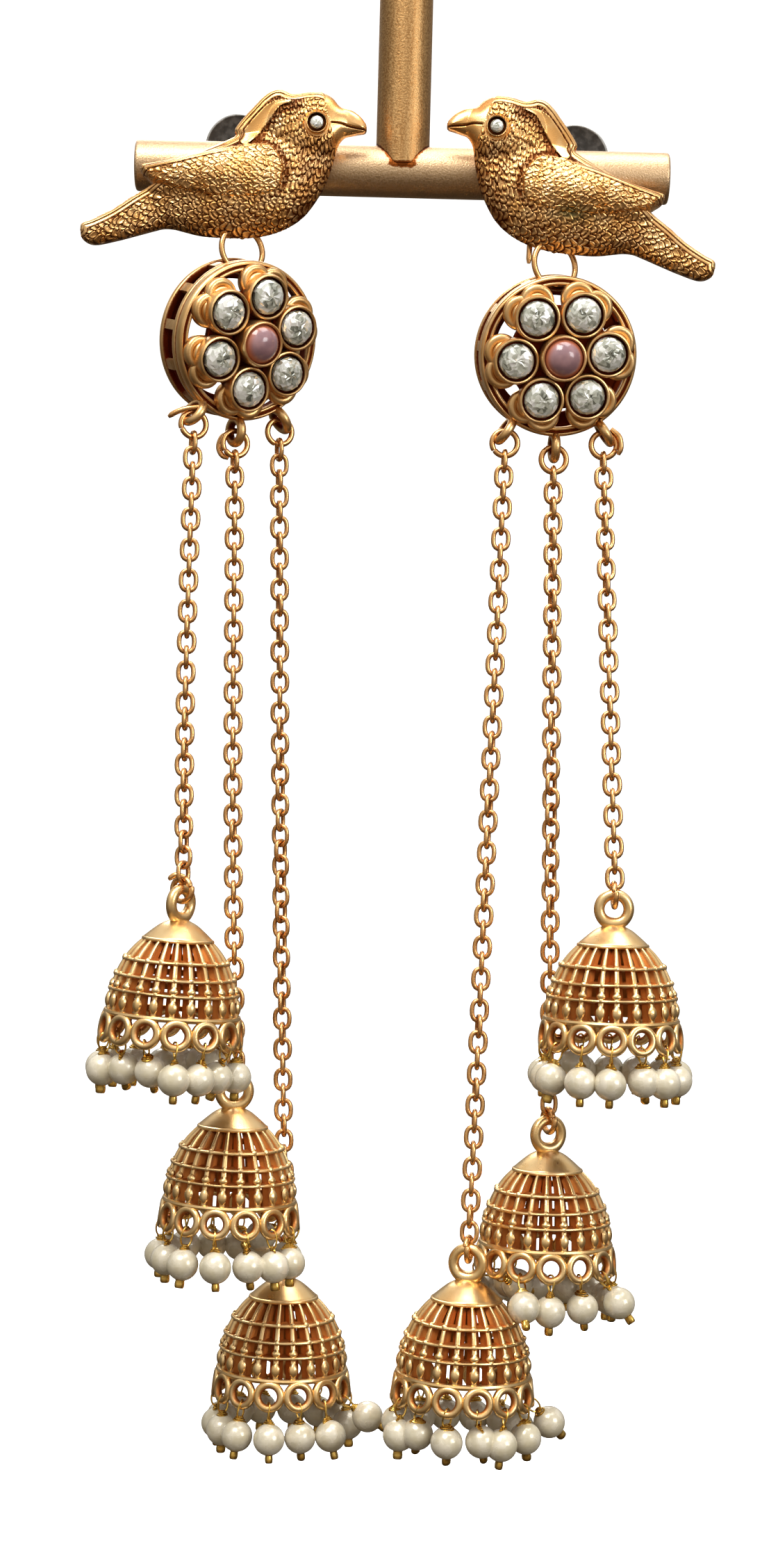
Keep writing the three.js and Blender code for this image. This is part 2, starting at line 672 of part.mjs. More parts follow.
function earring(side) {
  const group = new THREE.Group();
  const label = (piece) => `${side.name}_${piece}`;

  const birdPlace = placed(shift(side.bird.x, HANG_Y, side.bird.z), turnY(side.bird.roll));
  addMesh(group, label('bird'), birdGeometry(side), 'antiqueGold', birdPlace);
  addMesh(group, label('bird_eye'), eyeStoneGeometry(), 'clearStone', placed(
    birdPlace, shift(side.hand * BIRD_EYE.x, EYE_SEAT_Y, BIRD_EYE.z)));

  const pinTip = new THREE.Vector3(side.hand * side.pin.x, 0, side.pin.z).applyMatrix4(birdPlace);
  addMesh(group, label('clutch'), clutchGeometry(side), 'darkClutch', shift(
    pinTip.x, CLUTCH_FRONT, pinTip.z));
  addMesh(group, label('hanger_ring'), wireRing(side.hanger.radius, RING_WIRE, 8), 'antiqueGold',
    hangerMatrix(side));

  const flowerPlace = flowerMatrix(side);
  addMesh(group, label('flower'), flowerGeometry(side), 'antiqueGold', flowerPlace);
  const seatY = RIM_Y + PLATE_BACK - PETAL_PLATE + BEZEL_SUNK - BEZEL_HEIGHT;
  for (let k = 0; k < PETALS; k += 1) {
    addMesh(group, label(`flower_stone_${k + 1}`), stoneGeometry(STONE_DOME), 'clearStone', placed(
      flowerPlace, petalPlace(side, k, seatY)));
  }
  addMesh(group, label('flower_center_stone'), stoneGeometry(STONE_DOME + 0.4), 'pinkStone', placed(
    flowerPlace, shift(0, seatY - CENTRE_RISE, 0)));

  side.bells.forEach((bell, index) => {
    const number = index + 1;
    const ring = jumpRingCentre(side, index);
    const bellPlace = bellMatrix(bell);
    addMesh(group, label(`jump_ring_${number}`), wireRing(RING_RADIUS, RING_WIRE),
      'antiqueGold', placed(shift(ring.x, ring.y, ring.z), turnZ(side.flower.yaw * 0.6)));
    addMesh(group, label(`bell_${number}`), bellGeometry(bell), 'antiqueGold', bellPlace);

    const linkZ = LOOP_RADIUS + 0.3 + LINK_RADIUS;
    addMesh(group, label(`bell_link_${number}`), wireRing(LINK_RADIUS, RING_WIRE), 'chainGold',
      placed(bellPlace, turnZ(bell.loopTurn - bell.turn + 90), shift(0, 0, linkZ)));

    const top = [ring.x, ring.y, ring.z - RING_RADIUS - RING_WIRE - GAP];
    const foot = new THREE.Vector3(0, 0, linkZ + LINK_RADIUS + RING_WIRE + GAP)
      .applyMatrix4(bellPlace).toArray();
    const between = side.routes[index].map(([x, y, z]) => [top[0] + x, top[1] + y, top[2] + z]);
    const middle = between.length ? between : [top.map((value, k) => (value + foot[k]) / 2)];
    addMesh(group, label(`chain_${number}`), tubeGeometry([top, ...middle, foot]), 'chainGold');
  });
  return group;
}

const model = new THREE.Group();
model.add(named('stand', standGeometry(), 'barGold'));
for (const side of SIDES) model.add(earring(side));

export default model;
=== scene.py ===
# %% [markdown]
# # A pair of jhumka earrings on a T-bar stand
#
# Two long gold-plated earrings hang on a satin metal bar. Each one is a bird, a round
# flower set with stones under it, and three pierced bells on cable chains, with a pearl
# under every loop of a bell's rim.
# The packed CAD model settles every place and size. Its solids are plain, so each one is
# replaced here by a finished surface of the same form, worked out with numpy.

# %% Load the frame
import json
import math

import bpy
import numpy as np
from mathutils import Matrix, Vector


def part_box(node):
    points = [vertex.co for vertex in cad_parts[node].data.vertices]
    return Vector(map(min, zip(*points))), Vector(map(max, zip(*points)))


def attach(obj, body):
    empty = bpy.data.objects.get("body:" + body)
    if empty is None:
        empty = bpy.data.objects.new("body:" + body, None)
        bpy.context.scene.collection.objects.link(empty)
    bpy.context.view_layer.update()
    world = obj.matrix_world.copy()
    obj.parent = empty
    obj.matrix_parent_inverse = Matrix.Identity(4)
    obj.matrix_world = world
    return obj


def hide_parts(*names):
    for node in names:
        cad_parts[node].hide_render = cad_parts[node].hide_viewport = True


MM = 0.001  # the shapes below are worked out in millimetres, Blender's are in metres
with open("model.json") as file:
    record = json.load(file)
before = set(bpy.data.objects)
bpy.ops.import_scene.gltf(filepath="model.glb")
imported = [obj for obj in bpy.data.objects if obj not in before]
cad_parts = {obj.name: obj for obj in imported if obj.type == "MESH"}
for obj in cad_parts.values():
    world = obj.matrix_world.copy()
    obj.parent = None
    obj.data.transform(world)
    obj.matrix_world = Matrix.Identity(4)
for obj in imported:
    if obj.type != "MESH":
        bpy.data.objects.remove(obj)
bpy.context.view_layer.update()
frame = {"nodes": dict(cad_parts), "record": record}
nodes = frame["nodes"]


# %% Read places from the frame
def corner_box(node):
    """Lowest and highest corner of a CAD node, in millimetres."""
    return tuple(np.array(corner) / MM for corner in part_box(node))


def middle(node):
    """The centre of a CAD node's box, in millimetres."""
    low, high = corner_box(node)
    return (low + high) / 2


def corners(node):
    """A CAD node's separate corners, in millimetres: its points with the repeats left out."""
    mesh = nodes[node].data
    points = np.zeros(len(mesh.vertices) * 3)
    mesh.vertices.foreach_get("co", points)
    return np.unique(np.round(points.reshape(-1, 3) / MM, 3), axis=0)


openings = {o["name"]: np.array(o["box_m"]) / MM for o in frame["record"]["physics"]["openings"]}
print("bells:", sorted(openings))

# %% [markdown]
# ## The camera
# A long lens stands in front of the stand at about the height of the chains. It is rolled
# a little, because the bar falls slightly to the right. A long lens keeps the sides of the
# bells nearly parallel, as they look from a normal distance.

# %% Camera
CAMERA_PLACE = (0.37 * MM, -344.7 * MM, -113.03 * MM)
CAMERA_ROLL = 1.5  # degrees
scene = bpy.context.scene
camera = bpy.data.objects.new("camera", bpy.data.cameras.new("camera"))
camera.data.lens = 60.29
camera.data.sensor_width = 36
camera.data.clip_start = 0.01
camera.matrix_world = (
    Matrix.Translation(CAMERA_PLACE)
    @ Matrix.Rotation(math.radians(90), 4, "X")
    @ Matrix.Rotation(math.radians(CAMERA_ROLL), 4, "Z")
)
scene.collection.objects.link(camera)
scene.camera = camera
print("camera at", CAMERA_PLACE)

# %% [markdown]
# ## Light
# Polished metal shows its surroundings more than its own colour, so the light is made as
# surroundings: bright above, middling in front and dark below and at the sides. That gives
# the bar its cream top and brown underside, and the post its dark edges. Soft boxes add
# the crisp highlights. The floor is a wide pale bowl far below and all round, which the
# camera sees and the metal doesn't.

# %% Surroundings
scene.view_settings.view_transform = "Standard"
SKY = [  # height of a direction, from straight down to straight up, and its colour
    (0.0, (0.13, 0.10, 0.07, 1)),
    (0.24, (0.26, 0.19, 0.13, 1)),
    (0.40, (0.50, 0.44, 0.36, 1)),
    (0.50, (0.66, 0.61, 0.54, 1)),
    (0.66, (0.95, 0.92, 0.87, 1)),
    (1.0, (1.0, 0.98, 0.95, 1)),
]
FRONT_STRENGTH, TOP_STRENGTH, SIDE_STRENGTH = 0.88, 0.78, 0.28
world = bpy.data.worlds.new("studio")
world.use_nodes = True
scene.world = world
air = world.node_tree


def set_stops(ramp, stops):
    """Give a colour ramp its stops, each a position and a colour."""
    while len(ramp.elements) < len(stops):
        ramp.elements.new(0.5)
    for element, (position, colour) in zip(ramp.elements, stops):
        element.position, element.color = position, colour


def graded(value, low, high, first, last):
    """A number that runs from first to last as value runs from low to high."""
    grade = air.nodes.new("ShaderNodeMapRange")
    ends = {"From Min": low, "From Max": high, "To Min": first, "To Max": last}
    for socket, number in ends.items():
        grade.inputs[socket].default_value = number
    air.links.new(value, grade.inputs["Value"])
    return grade.outputs[0]


direction = air.nodes.new("ShaderNodeTexCoord")
split = air.nodes.new("ShaderNodeSeparateXYZ")
air.links.new(direction.outputs["Generated"], split.inputs[0])
sky = air.nodes.new("ShaderNodeValToRGB")
set_stops(sky.color_ramp, SKY)
air.links.new(graded(split.outputs["Z"], -1, 1, 0, 1), sky.inputs[0])
from_front = graded(split.outputs["Y"], -0.15, -0.85, SIDE_STRENGTH, FRONT_STRENGTH)
from_above = graded(split.outputs["Z"], 0.10, 0.55, 0, TOP_STRENGTH)
strength = air.nodes.new("ShaderNodeMath")
strength.operation = "MAXIMUM"
air.links.new(from_front, strength.inputs[0])
air.links.new(from_above, strength.inputs[1])
background = air.nodes["Background"]
air.links.new(sky.outputs[0], background.inputs["Color"])
air.links.new(strength.outputs[0], background.inputs["Strength"])
print("surroundings made of", len(air.nodes), "nodes")


# %% Soft boxes
MIDDLE = (0, 0, -0.11)  # the middle of the earrings, in metres


def soft_box(name, place, size, power, colour=(1, 1, 1)):
    """A square area light at place, in metres, turned to look at the earrings' middle."""
    lamp = bpy.data.objects.new(name, bpy.data.lights.new(name, "AREA"))
    lamp.data.shape, lamp.data.size = "SQUARE", size
    lamp.data.energy, lamp.data.color = power, colour
    ahead = Vector(MIDDLE) - Vector(place)
    lamp.matrix_world = Matrix.Translation(place) @ ahead.to_track_quat("-Z", "Y").to_matrix().to_4x4()
    lamp.visible_camera = False
    scene.collection.objects.link(lamp)


soft_box("key", (-0.16, -0.36, 0.42), 0.30, 3.0, (1, 0.97, 0.93))
soft_box("top", (0.15, -0.05, 0.60), 0.45, 3.1)
soft_box("side", (0.45, -0.42, 0.05), 0.25, 1.2)
soft_box("back", (-0.1, 0.55, 0.35), 0.35, 1.5)

# %% [markdown]
# ## Shaders as expressions
# A finish is a colour, a gloss and a fine bump that change over the surface. Written as
# nodes this is hard to read, so a small class wraps a socket and lets Python's operators
# add the Math nodes. Everything else goes through one method, `node`.


# %% Numbers of a shader
class Value:
    """A number worked out by a shader. Operators on it add Math nodes."""

    def __init__(self, finish, socket):
        self.finish, self.socket = finish, socket

    def math(self, operation, *operands):
        operands = dict(enumerate(operands))
        return self.finish.node("ShaderNodeMath", {"operation": operation}, operands)

    def __add__(self, other):
        return self.math("ADD", self, other)

    def __sub__(self, other):
        return self.math("SUBTRACT", self, other)

    def __rsub__(self, other):
        return self.math("SUBTRACT", other, self)

    def __mul__(self, other):
        return self.math("MULTIPLY", self, other)

    __radd__, __rmul__ = __add__, __mul__

    def between(self, low, high):
        """0 below low, 1 above high, and a smooth step from one to the other."""
        settings = {"interpolation_type": "SMOOTHSTEP"}
        sockets = {"Value": self, "From Min": low, "From Max": high}
        return self.finish.node("ShaderNodeMapRange", settings, sockets)


print("operators:", [name for name in vars(Value) if name.startswith("__r")])


# %% A material in the making
class Finish:
    """A material in the making. Constants are set on the shader's own sockets."""

    def __init__(self, name, **constants):
        self.material = bpy.data.materials.new(name)
        self.material.use_nodes = True
        self.tree = self.material.node_tree
        self.shader = self.tree.nodes["Principled BSDF"]
        for socket, value in constants.items():
            self.shader.inputs[socket.replace("_", " ")].default_value = value
        self.place = self.node("ShaderNodeTexCoord", {}, {}, "Object")

    def put(self, socket, value):
        """Set a socket to a number or a colour, or link a Value to it."""
        if isinstance(value, Value):
            self.tree.links.new(value.socket, socket)
        else:
            socket.default_value = value

    def node(self, kind, settings, sockets, output=0):
        """Add a node of this kind: its settings first, then its sockets."""
        new = self.tree.nodes.new(kind)
        for setting, value in settings.items():
            if setting == "stops":
                set_stops(new.color_ramp, value)
            else:
                setattr(new, setting, value)
        for socket, value in sockets.items():
            self.put(new.inputs[socket], value)
        return Value(self, new.outputs[output])

    def noise(self, size, detail=2.0):
        """Cloudy noise between about 0.3 and 0.7, with lumps of this size in millimetres."""
        sockets = {"Vector": self.place, "Scale": 1 / (size * MM), "Detail": detail}
        return self.node("ShaderNodeTexNoise", {}, sockets)

    def attribute(self, name):
        """A number stored on the mesh."""
        return self.node("ShaderNodeAttribute", {"attribute_name": name}, {}, "Fac")

    def mixed(self, share, first, second):
        """The first colour where share is 0 and the second where it is 1."""
        sockets = {0: share, 6: first, 7: second}
        return self.node("ShaderNodeMix", {"data_type": "RGBA"}, sockets, 2)

    def bump(self, height, depth):
        """Light the surface as if it rose by height (0 to 1) times depth in millimetres."""
        sockets = {"Height": height, "Distance": depth * MM, "Strength": 1.0}
        self.feed("Normal", self.node("ShaderNodeBump", {}, sockets))

    def feed(self, socket, value):
        """Link a Value into the shader."""
        self.put(self.shader.inputs[socket], value)


def paint(red, green, blue):
    """A colour given in screen values from 0 to 255, as the linear light Blender uses."""
    share = np.array([red, green, blue]) / 255
    linear = np.where(share <= 0.04045, share / 12.92, ((share + 0.055) / 1.055) ** 2.4)
    return (*(float(v) for v in linear), 1.0)


print("middle grey as light:", [round(v, 3) for v in paint(128, 128, 128)])

# %% [markdown]
# ## Finishes
# The castings are plated in a soft antique gold, then rubbed with a brown lacquer that
# stays in the recesses. Each mesh carries a number called `tone` on its points, 0 on
# proud metal and 1 deep in a recess, and the finish turns it into colour and gloss. Fine
# noise breaks up the edge between the two, as rubbing by hand does. On the birds, the
# insides of the bells and the flowers' inner walls, tone also carries painted shade in
# the same deep colour. One bird also has a small green-grey patch on its flank, where its
# plating has worn, and `verdigris` marks it.


# %% Gold
VERDIGRIS = paint(96, 94, 62)
UNEVEN = 0.35  # how far the noise moves the lacquer's edge, as a share of tone
GRAIN_SIZE = 0.16  # of the bump, in millimetres


def plated(name, proud, deep, roughness, grain=0.012):
    """Plated metal: clouds of two proud colours, and the deep colour where tone is high.

    The roughness is the proud metal's, and grain is the depth of its bump in millimetres."""
    finish = Finish(name, Metallic=1.0)
    patches = finish.noise(1.4, 4.0) - 0.5
    fine = finish.noise(0.28, 3.0)
    spread = patches * UNEVEN + (fine - 0.5) * UNEVEN
    # tone carries the brown lacquer in the recesses and, on the birds, the bells and the flowers, painted
    # shade as well; both turn the metal to the deep colour
    lacquer_and_shade = (finish.attribute("tone") + spread).between(0.10, 0.80)
    clouded = finish.mixed(finish.noise(2.6).between(0.35, 0.7), proud[0], proud[1])
    worn = finish.mixed(lacquer_and_shade, clouded, deep)
    green = finish.attribute("verdigris") * (0.55 + finish.noise(0.5, 3.0) * 0.6)
    finish.feed("Base Color", finish.mixed(green, worn, VERDIGRIS))
    finish.feed("Roughness", roughness + lacquer_and_shade * 0.25 + patches * 0.2)
    finish.bump(finish.noise(GRAIN_SIZE), grain)
    return finish.material


bird_gold = plated(
    "bird_gold", (paint(238, 178, 106), paint(252, 206, 144)), paint(88, 42, 14), 0.27)
flower_gold = plated(
    "flower_gold", (paint(228, 182, 120), paint(242, 202, 146)), paint(110, 40, 12), 0.34)
bell_gold = plated(
    "bell_gold", (paint(236, 196, 134), paint(246, 212, 156)), paint(182, 112, 54), 0.3)
chain_gold = plated(
    "chain_gold", (paint(232, 176, 114), paint(244, 192, 128)), paint(130, 66, 26), 0.26, 0.006)
wire_brass = plated(
    "wire_brass", (paint(214, 172, 84), paint(226, 188, 104)), paint(110, 74, 20), 0.25, 0.006)
print("gold finishes:", [m.name for m in bpy.data.materials if m.name.endswith(("gold", "brass"))])

# %% [markdown]
# The bar is a different metal: bead-blasted and plated in champagne, so its grain is even
# and fine and its highlight is broad. The post is the same metal, blasted in the same way;
# its colours are painted darker and browner than the bar's, as painted shade for the darker
# surroundings that it reflects. The die that its tube was drawn through has left faint
# streaks along it. Where the two are brazed together brown lacquer has gathered, and
# `tone` marks that place.


# %% Champagne bar, and the post in a darker painted shade of it
def lacquer(finish):
    """1 where brown lacquer has gathered: where tone is high, with a ragged edge."""
    return (finish.attribute("tone") + (finish.noise(0.5, 3.0) - 0.5) * 0.8).between(0.35, 0.75)


bar_finish = Finish("champagne_satin", Metallic=1.0)
blasted = bar_finish.noise(0.22, 3.0)
stain = lacquer(bar_finish)
satin = bar_finish.mixed(blasted.between(0.3, 0.7), paint(198, 166, 126), paint(214, 184, 148))
bar_finish.feed("Base Color", bar_finish.mixed(stain, satin, paint(120, 62, 22)))
bar_finish.feed("Roughness", 0.42 + (blasted - 0.5) * 0.3 - stain * 0.1)
bar_finish.bump(blasted, 0.05)
bar_satin = bar_finish.material

post_finish = Finish("champagne_in_painted_shade", Metallic=1.0)
ALONG_POST = (1, 1, 0.06)  # drawing the noise out along Z makes streaks of it
drawn = post_finish.node("ShaderNodeVectorMath", {"operation": "MULTIPLY"}, {
    0: post_finish.place, 1: ALONG_POST})
streaks = post_finish.node("ShaderNodeTexNoise", {}, {
    "Vector": drawn, "Scale": 1 / (0.7 * MM), "Detail": 3.0})
speckle = post_finish.noise(0.25, 3.0)
stain = lacquer(post_finish)
cloudy = (streaks - 0.5) * 0.5 + (speckle - 0.5) * 0.9 + 0.5
# painted shade: the post's two colours are darker, browner copies of the bar's champagne
shaded_champagne = post_finish.mixed(cloudy.between(0.25, 0.75), paint(156, 114, 68), paint(190, 152, 102))
post_finish.feed("Base Color", post_finish.mixed(stain, shaded_champagne, paint(96, 46, 14)))
post_finish.feed("Roughness", 0.42 + (speckle - 0.5) * 0.3)
post_finish.bump(speckle, 0.04)
post_shaded_champagne = post_finish.material
print("stand finishes:", bar_satin.name, post_shaded_champagne.name)

# %% [markdown]
# The pearls are glass beads with a satin pearl coat: an ivory body, a slightly uneven skin
# and a soft lustre that comes from a clear coat over a rougher base.

# %% Pearl
pearl_finish = Finish("pearl", Coat_Roughness=0.12, IOR=1.6)
sheen = pearl_finish.noise(1.6)
pearl_finish.feed("Base Color", pearl_finish.mixed(
    sheen.between(0.3, 0.7), paint(208, 198, 170), paint(228, 220, 200)))
pearl_finish.feed("Roughness", 0.26 + (sheen - 0.5) * 0.3)
pearl_finish.feed("Coat Weight", 0.5 + (sheen - 0.5))
pearl_finish.feed("Metallic", 0.12 + (sheen - 0.5) * 0.1)
pearl_finish.bump(pearl_finish.noise(0.9), 0.05)
pearl_skin = pearl_finish.material
print("pearl finish:", pearl_skin.name)

# %% [markdown]
# A foiled stone is clear glass over silver foil. Real glass over a mirror needs many light
# bounces and is lost in the export, so its flashes are painted: cells of broken noise and
# a number for each facet pick a grey from a ramp, and a clear coat adds the gloss. The
# middle stone is a cloudy pink glass; the warmer colour at its edge, where gold shows
# through, is a painted reflection.

# %% Clear and pink stones
stone_finish = Finish("foiled_stone", Coat_Roughness=0.02, IOR=1.6, Metallic=0.35)
SHARDS = [  # greys of the foil, from facets that mirror the dark to ones that mirror light
    (0.0, paint(70, 72, 64)),
    (0.20, paint(118, 120, 108)),
    (0.32, paint(172, 174, 160)),
    (0.50, paint(198, 200, 186)),
    (0.62, paint(232, 234, 226)),
    (0.80, paint(252, 252, 250)),
    (1.0, paint(210, 212, 200)),
]
shard = stone_finish.node("ShaderNodeTexVoronoi", {}, {
    "Vector": stone_finish.place, "Scale": 1 / (1.1 * MM), "Randomness": 1.0}, "Color")
shard_value = stone_finish.node("ShaderNodeSeparateXYZ", {}, {0: shard})
facet = stone_finish.attribute("facet")
glint = shard_value * 0.5 + facet * 0.4 + 0.12 - stone_finish.attribute("tone") * 0.3
stone_finish.feed("Base Color", stone_finish.node(
    "ShaderNodeValToRGB", {"stops": SHARDS}, {0: glint}))
stone_finish.feed("Roughness", 0.06 + shard_value * 0.12)
stone_finish.feed("Coat Weight", 0.9 + facet * 0.1)
clear_stone = stone_finish.material

pink_finish = Finish("pink_cabochon", Coat_Roughness=0.03, IOR=1.55)
cloud = pink_finish.noise(2.2)
# painted reflection: a warmer colour at the stone's edge, standing for the gold collar seen through it
painted_gold_reflection = pink_finish.attribute("tone")
pink_body = pink_finish.mixed(cloud.between(0.35, 0.7), paint(140, 106, 112), paint(166, 126, 128))
pink_finish.feed("Base Color", pink_finish.mixed(painted_gold_reflection, pink_body, paint(176, 98, 66)))
pink_finish.feed("Roughness", 0.22 + (cloud - 0.5) * 0.2)
pink_finish.feed("Coat Weight", 0.6 + (cloud - 0.5) * 0.2)
pink_stone = pink_finish.material
print("stone finishes:", clear_stone.name, pink_stone.name)

# %% [markdown]
# The clutches are plain dull metal that was never plated gold. Handling has scuffed them,
# and their pressed edge shines through where `tone` is high.

# %% Clutch
clutch_finish = Finish("dull_grey", Metallic=0.7)
scuff = clutch_finish.noise(0.8, 4.0)
dull = clutch_finish.mixed(scuff.between(0.35, 0.7), paint(58, 56, 54), paint(84, 82, 80))
worn = (clutch_finish.attribute("tone") + (scuff - 0.5) * 0.6).between(0.3, 0.8)
clutch_finish.feed("Base Color", clutch_finish.mixed(worn, dull, paint(168, 168, 166)))
clutch_finish.feed("Roughness", 0.38 + (scuff - 0.5) * 0.4)
clutch_finish.bump(clutch_finish.noise(0.2), 0.01)
clutch_grey = clutch_finish.material
print("finishes:", len(bpy.data.materials))

# %% [markdown]
# ## Surfaces from numpy
# Nearly every part is one of three things: a profile turned round an axis, a wire that
# follows a path, or a shape repeated many times. All of them are grids of points, so one
# helper makes the faces of a grid and the others only work out its points.


# %% Patches
class Patch:
    """Points in millimetres, faces of four corners (-1 for none) and a tone for each point."""

    def __init__(self, points, faces, tone):
        self.points = np.asarray(points, float).reshape(-1, 3)
        self.faces = np.asarray(faces, int).reshape(-1, 4)
        self.tone = np.broadcast_to(tone, len(self.points)).astype(float)


def joined(patches):
    """Several patches as one."""
    starts = np.cumsum([0] + [len(p.points) for p in patches])
    faces = [np.where(p.faces < 0, -1, p.faces + s) for p, s in zip(patches, starts)]
    points, tones = ([getattr(p, kind) for p in patches] for kind in ("points", "tone"))
    return Patch(np.concatenate(points), np.concatenate(faces), np.concatenate(tones))


def moved(patch, matrix):
    """A patch moved by a 4x4 matrix."""
    return Patch(patch.points @ matrix[:3, :3].T + matrix[:3, 3], patch.faces, patch.tone)


def copies(patch, matrices):
    """A patch repeated once for each 4x4 matrix."""
    matrices = np.asarray(matrices)
    points = np.einsum("kab,nb->kna", matrices[:, :3, :3], patch.points) + matrices[:, None, :3, 3]
    starts = np.arange(len(matrices))[:, None, None] * len(patch.points)
    faces = np.where(patch.faces[None] < 0, -1, patch.faces[None] + starts)
    return Patch(points, faces, np.tile(patch.tone, len(matrices)))


one_face = Patch([(0, 0, 0), (1, 0, 0), (0, 1, 0)], [(0, 1, 2, -1)], 0.0)
print("two triangles:", len(joined([one_face, one_face]).points), "points")


# %% Grids and turned profiles
def sheet(grid, tone, rows_close, start, end):
    """A grid of points (rows, columns, 3) as a surface that faces along column step x row step.

    Each row closes on itself, and so do the columns if rows_close is set. start and end
    are None, or points that close the first and the last row with a fan of triangles."""
    rows, columns = grid.shape[:2]
    steps = rows if rows_close else rows - 1
    i, j = np.meshgrid(np.arange(steps), np.arange(columns), indexing="ij")
    down, across = (i + 1) % rows, (j + 1) % columns
    quads = [i * columns + j, i * columns + across, down * columns + across, down * columns + j]
    faces = [np.stack(quads, -1).reshape(-1, 4)]
    points, tones = [grid.reshape(-1, 3)], [np.broadcast_to(tone, (rows, columns)).ravel()]
    ring = np.arange(columns)
    following = (ring + 1) % columns
    none = np.full(columns, -1)
    for pole, row, order in ((start, 0, (following, ring)), (end, rows - 1, (ring, following))):
        if pole is not None:
            tip = np.full(columns, sum(len(p) for p in points))
            edge = [corner + row * columns for corner in order]
            faces.append(np.stack([tip, *edge, none], -1))
            points.append(np.asarray(pole, float)[None])
            tones.append(tones[0].reshape(rows, columns)[row].mean(keepdims=True))
    return Patch(np.concatenate(points), np.concatenate(faces), np.concatenate(tones))


def turned(profile, sides, tone=0.0, rows_close=False):
    """A profile of (radius, height) carried round Z: (r cos a, r sin a, z).

    It runs upwards where the surface faces out. A radius of 0 at an end becomes one point."""
    profile = np.asarray(profile, float)
    tone = np.broadcast_to(tone, len(profile))
    first = int(profile[0, 0] == 0)
    last = len(profile) - int(profile[-1, 0] == 0)
    radius, rise = profile[first:last, 0, None], profile[first:last, 1, None]
    angle = np.linspace(0, 2 * np.pi, sides, endpoint=False)
    level = np.broadcast_to(rise, (last - first, sides))
    grid = np.stack([radius * np.cos(angle), radius * np.sin(angle), level], -1)
    start = [0, 0, profile[0, 1]] if first else None
    end = [0, 0, profile[-1, 1]] if last < len(profile) else None
    return sheet(grid, tone[first:last, None], rows_close, start, end)


print("a turned cone:", len(turned([(1, 0), (0, 1)], 12).faces), "faces")


# %% Wires, curves and circles
def tube(path, side, radius, sides, loop=False, flat=1.0, tone=0.0):
    """A wire along path: ring i is path_i + radius_i (N cos a + flat B sin a).

    T follows the path, N is the given side made square to T, and B = T x N."""
    path = np.asarray(path, float)
    ahead = np.roll(path, -1, 0) - np.roll(path, 1, 0) if loop else np.gradient(path, axis=0)
    ahead /= np.linalg.norm(ahead, axis=1, keepdims=True)
    side = np.broadcast_to(np.asarray(side, float), path.shape)
    across = side - (side * ahead).sum(1, keepdims=True) * ahead
    across /= np.linalg.norm(across, axis=1, keepdims=True)
    third = np.cross(ahead, across)
    angle = np.linspace(0, 2 * np.pi, sides, endpoint=False)[None, :, None]
    thick = np.broadcast_to(radius, len(path))[:, None, None]
    ring = np.cos(angle) * across[:, None] + flat * np.sin(angle) * third[:, None]
    ends = (None, None) if loop else (path[0], path[-1])
    return sheet(path[:, None] + thick * ring, tone, loop, *ends)


def curve(knots, count, loop=False):
    """count points on the smooth (Catmull-Rom) curve through the knots.

    Between knots b and c, with a before and d after, at share u the point is
    (2b + (c - a)u + (2a - 5b + 4c - d)u2 + (3b - a - 3c + d)u3) / 2."""
    knots = np.asarray(knots, float)
    if loop:
        around = np.concatenate([knots[-1:], knots, knots[:2]])
    else:
        around = np.concatenate([2 * knots[:1] - knots[1:2], knots, 2 * knots[-1:] - knots[-2:-1]])
    spans = len(around) - 3
    along = np.linspace(0, spans, count, endpoint=not loop)
    k = np.minimum(along.astype(int), spans - 1)
    u = (along - k)[:, None]
    a, b, c, d = (around[k + n] for n in range(4))
    square, cube = 2 * a - 5 * b + 4 * c - d, 3 * b - a - 3 * c + d
    return (2 * b + (c - a) * u + square * u**2 + cube * u**3) / 2


def circle(radius, count):
    """count points round a circle in the XZ plane: (r cos a, 0, r sin a)."""
    angle = np.linspace(0, 2 * np.pi, count, endpoint=False)
    return np.stack([radius * np.cos(angle), np.zeros(count), radius * np.sin(angle)], -1)


def inner_tone(ring, radius, reach, axes=(0, 2)):
    """1 on a ring's inner side and 0 on its outer one: (R - distance from its axis) / reach."""
    return np.clip((radius - np.hypot(*ring.points[:, axes].T)) / reach, 0, 1)


print("a ring of wire:", len(tube(circle(1, 24), (0, 1, 0), 0.2, 8, loop=True).faces), "faces")


# %% Placing
def shift(x, y, z):
    """The matrix that moves by x, y, z."""
    matrix = np.eye(4)
    matrix[:3, 3] = x, y, z
    return matrix


def turn(axis, degrees):
    """The matrix that turns by degrees about the X, Y or Z axis."""
    return np.array(Matrix.Rotation(math.radians(degrees), 4, axis))


def placed(*matrices):
    """The product of several matrices, the first one applied last."""
    product = np.eye(4)
    for matrix in matrices:
        product = product @ matrix
    return product


print("a quarter turn about Z:", turn("Z", 90).round(3)[:2, :2].tolist())


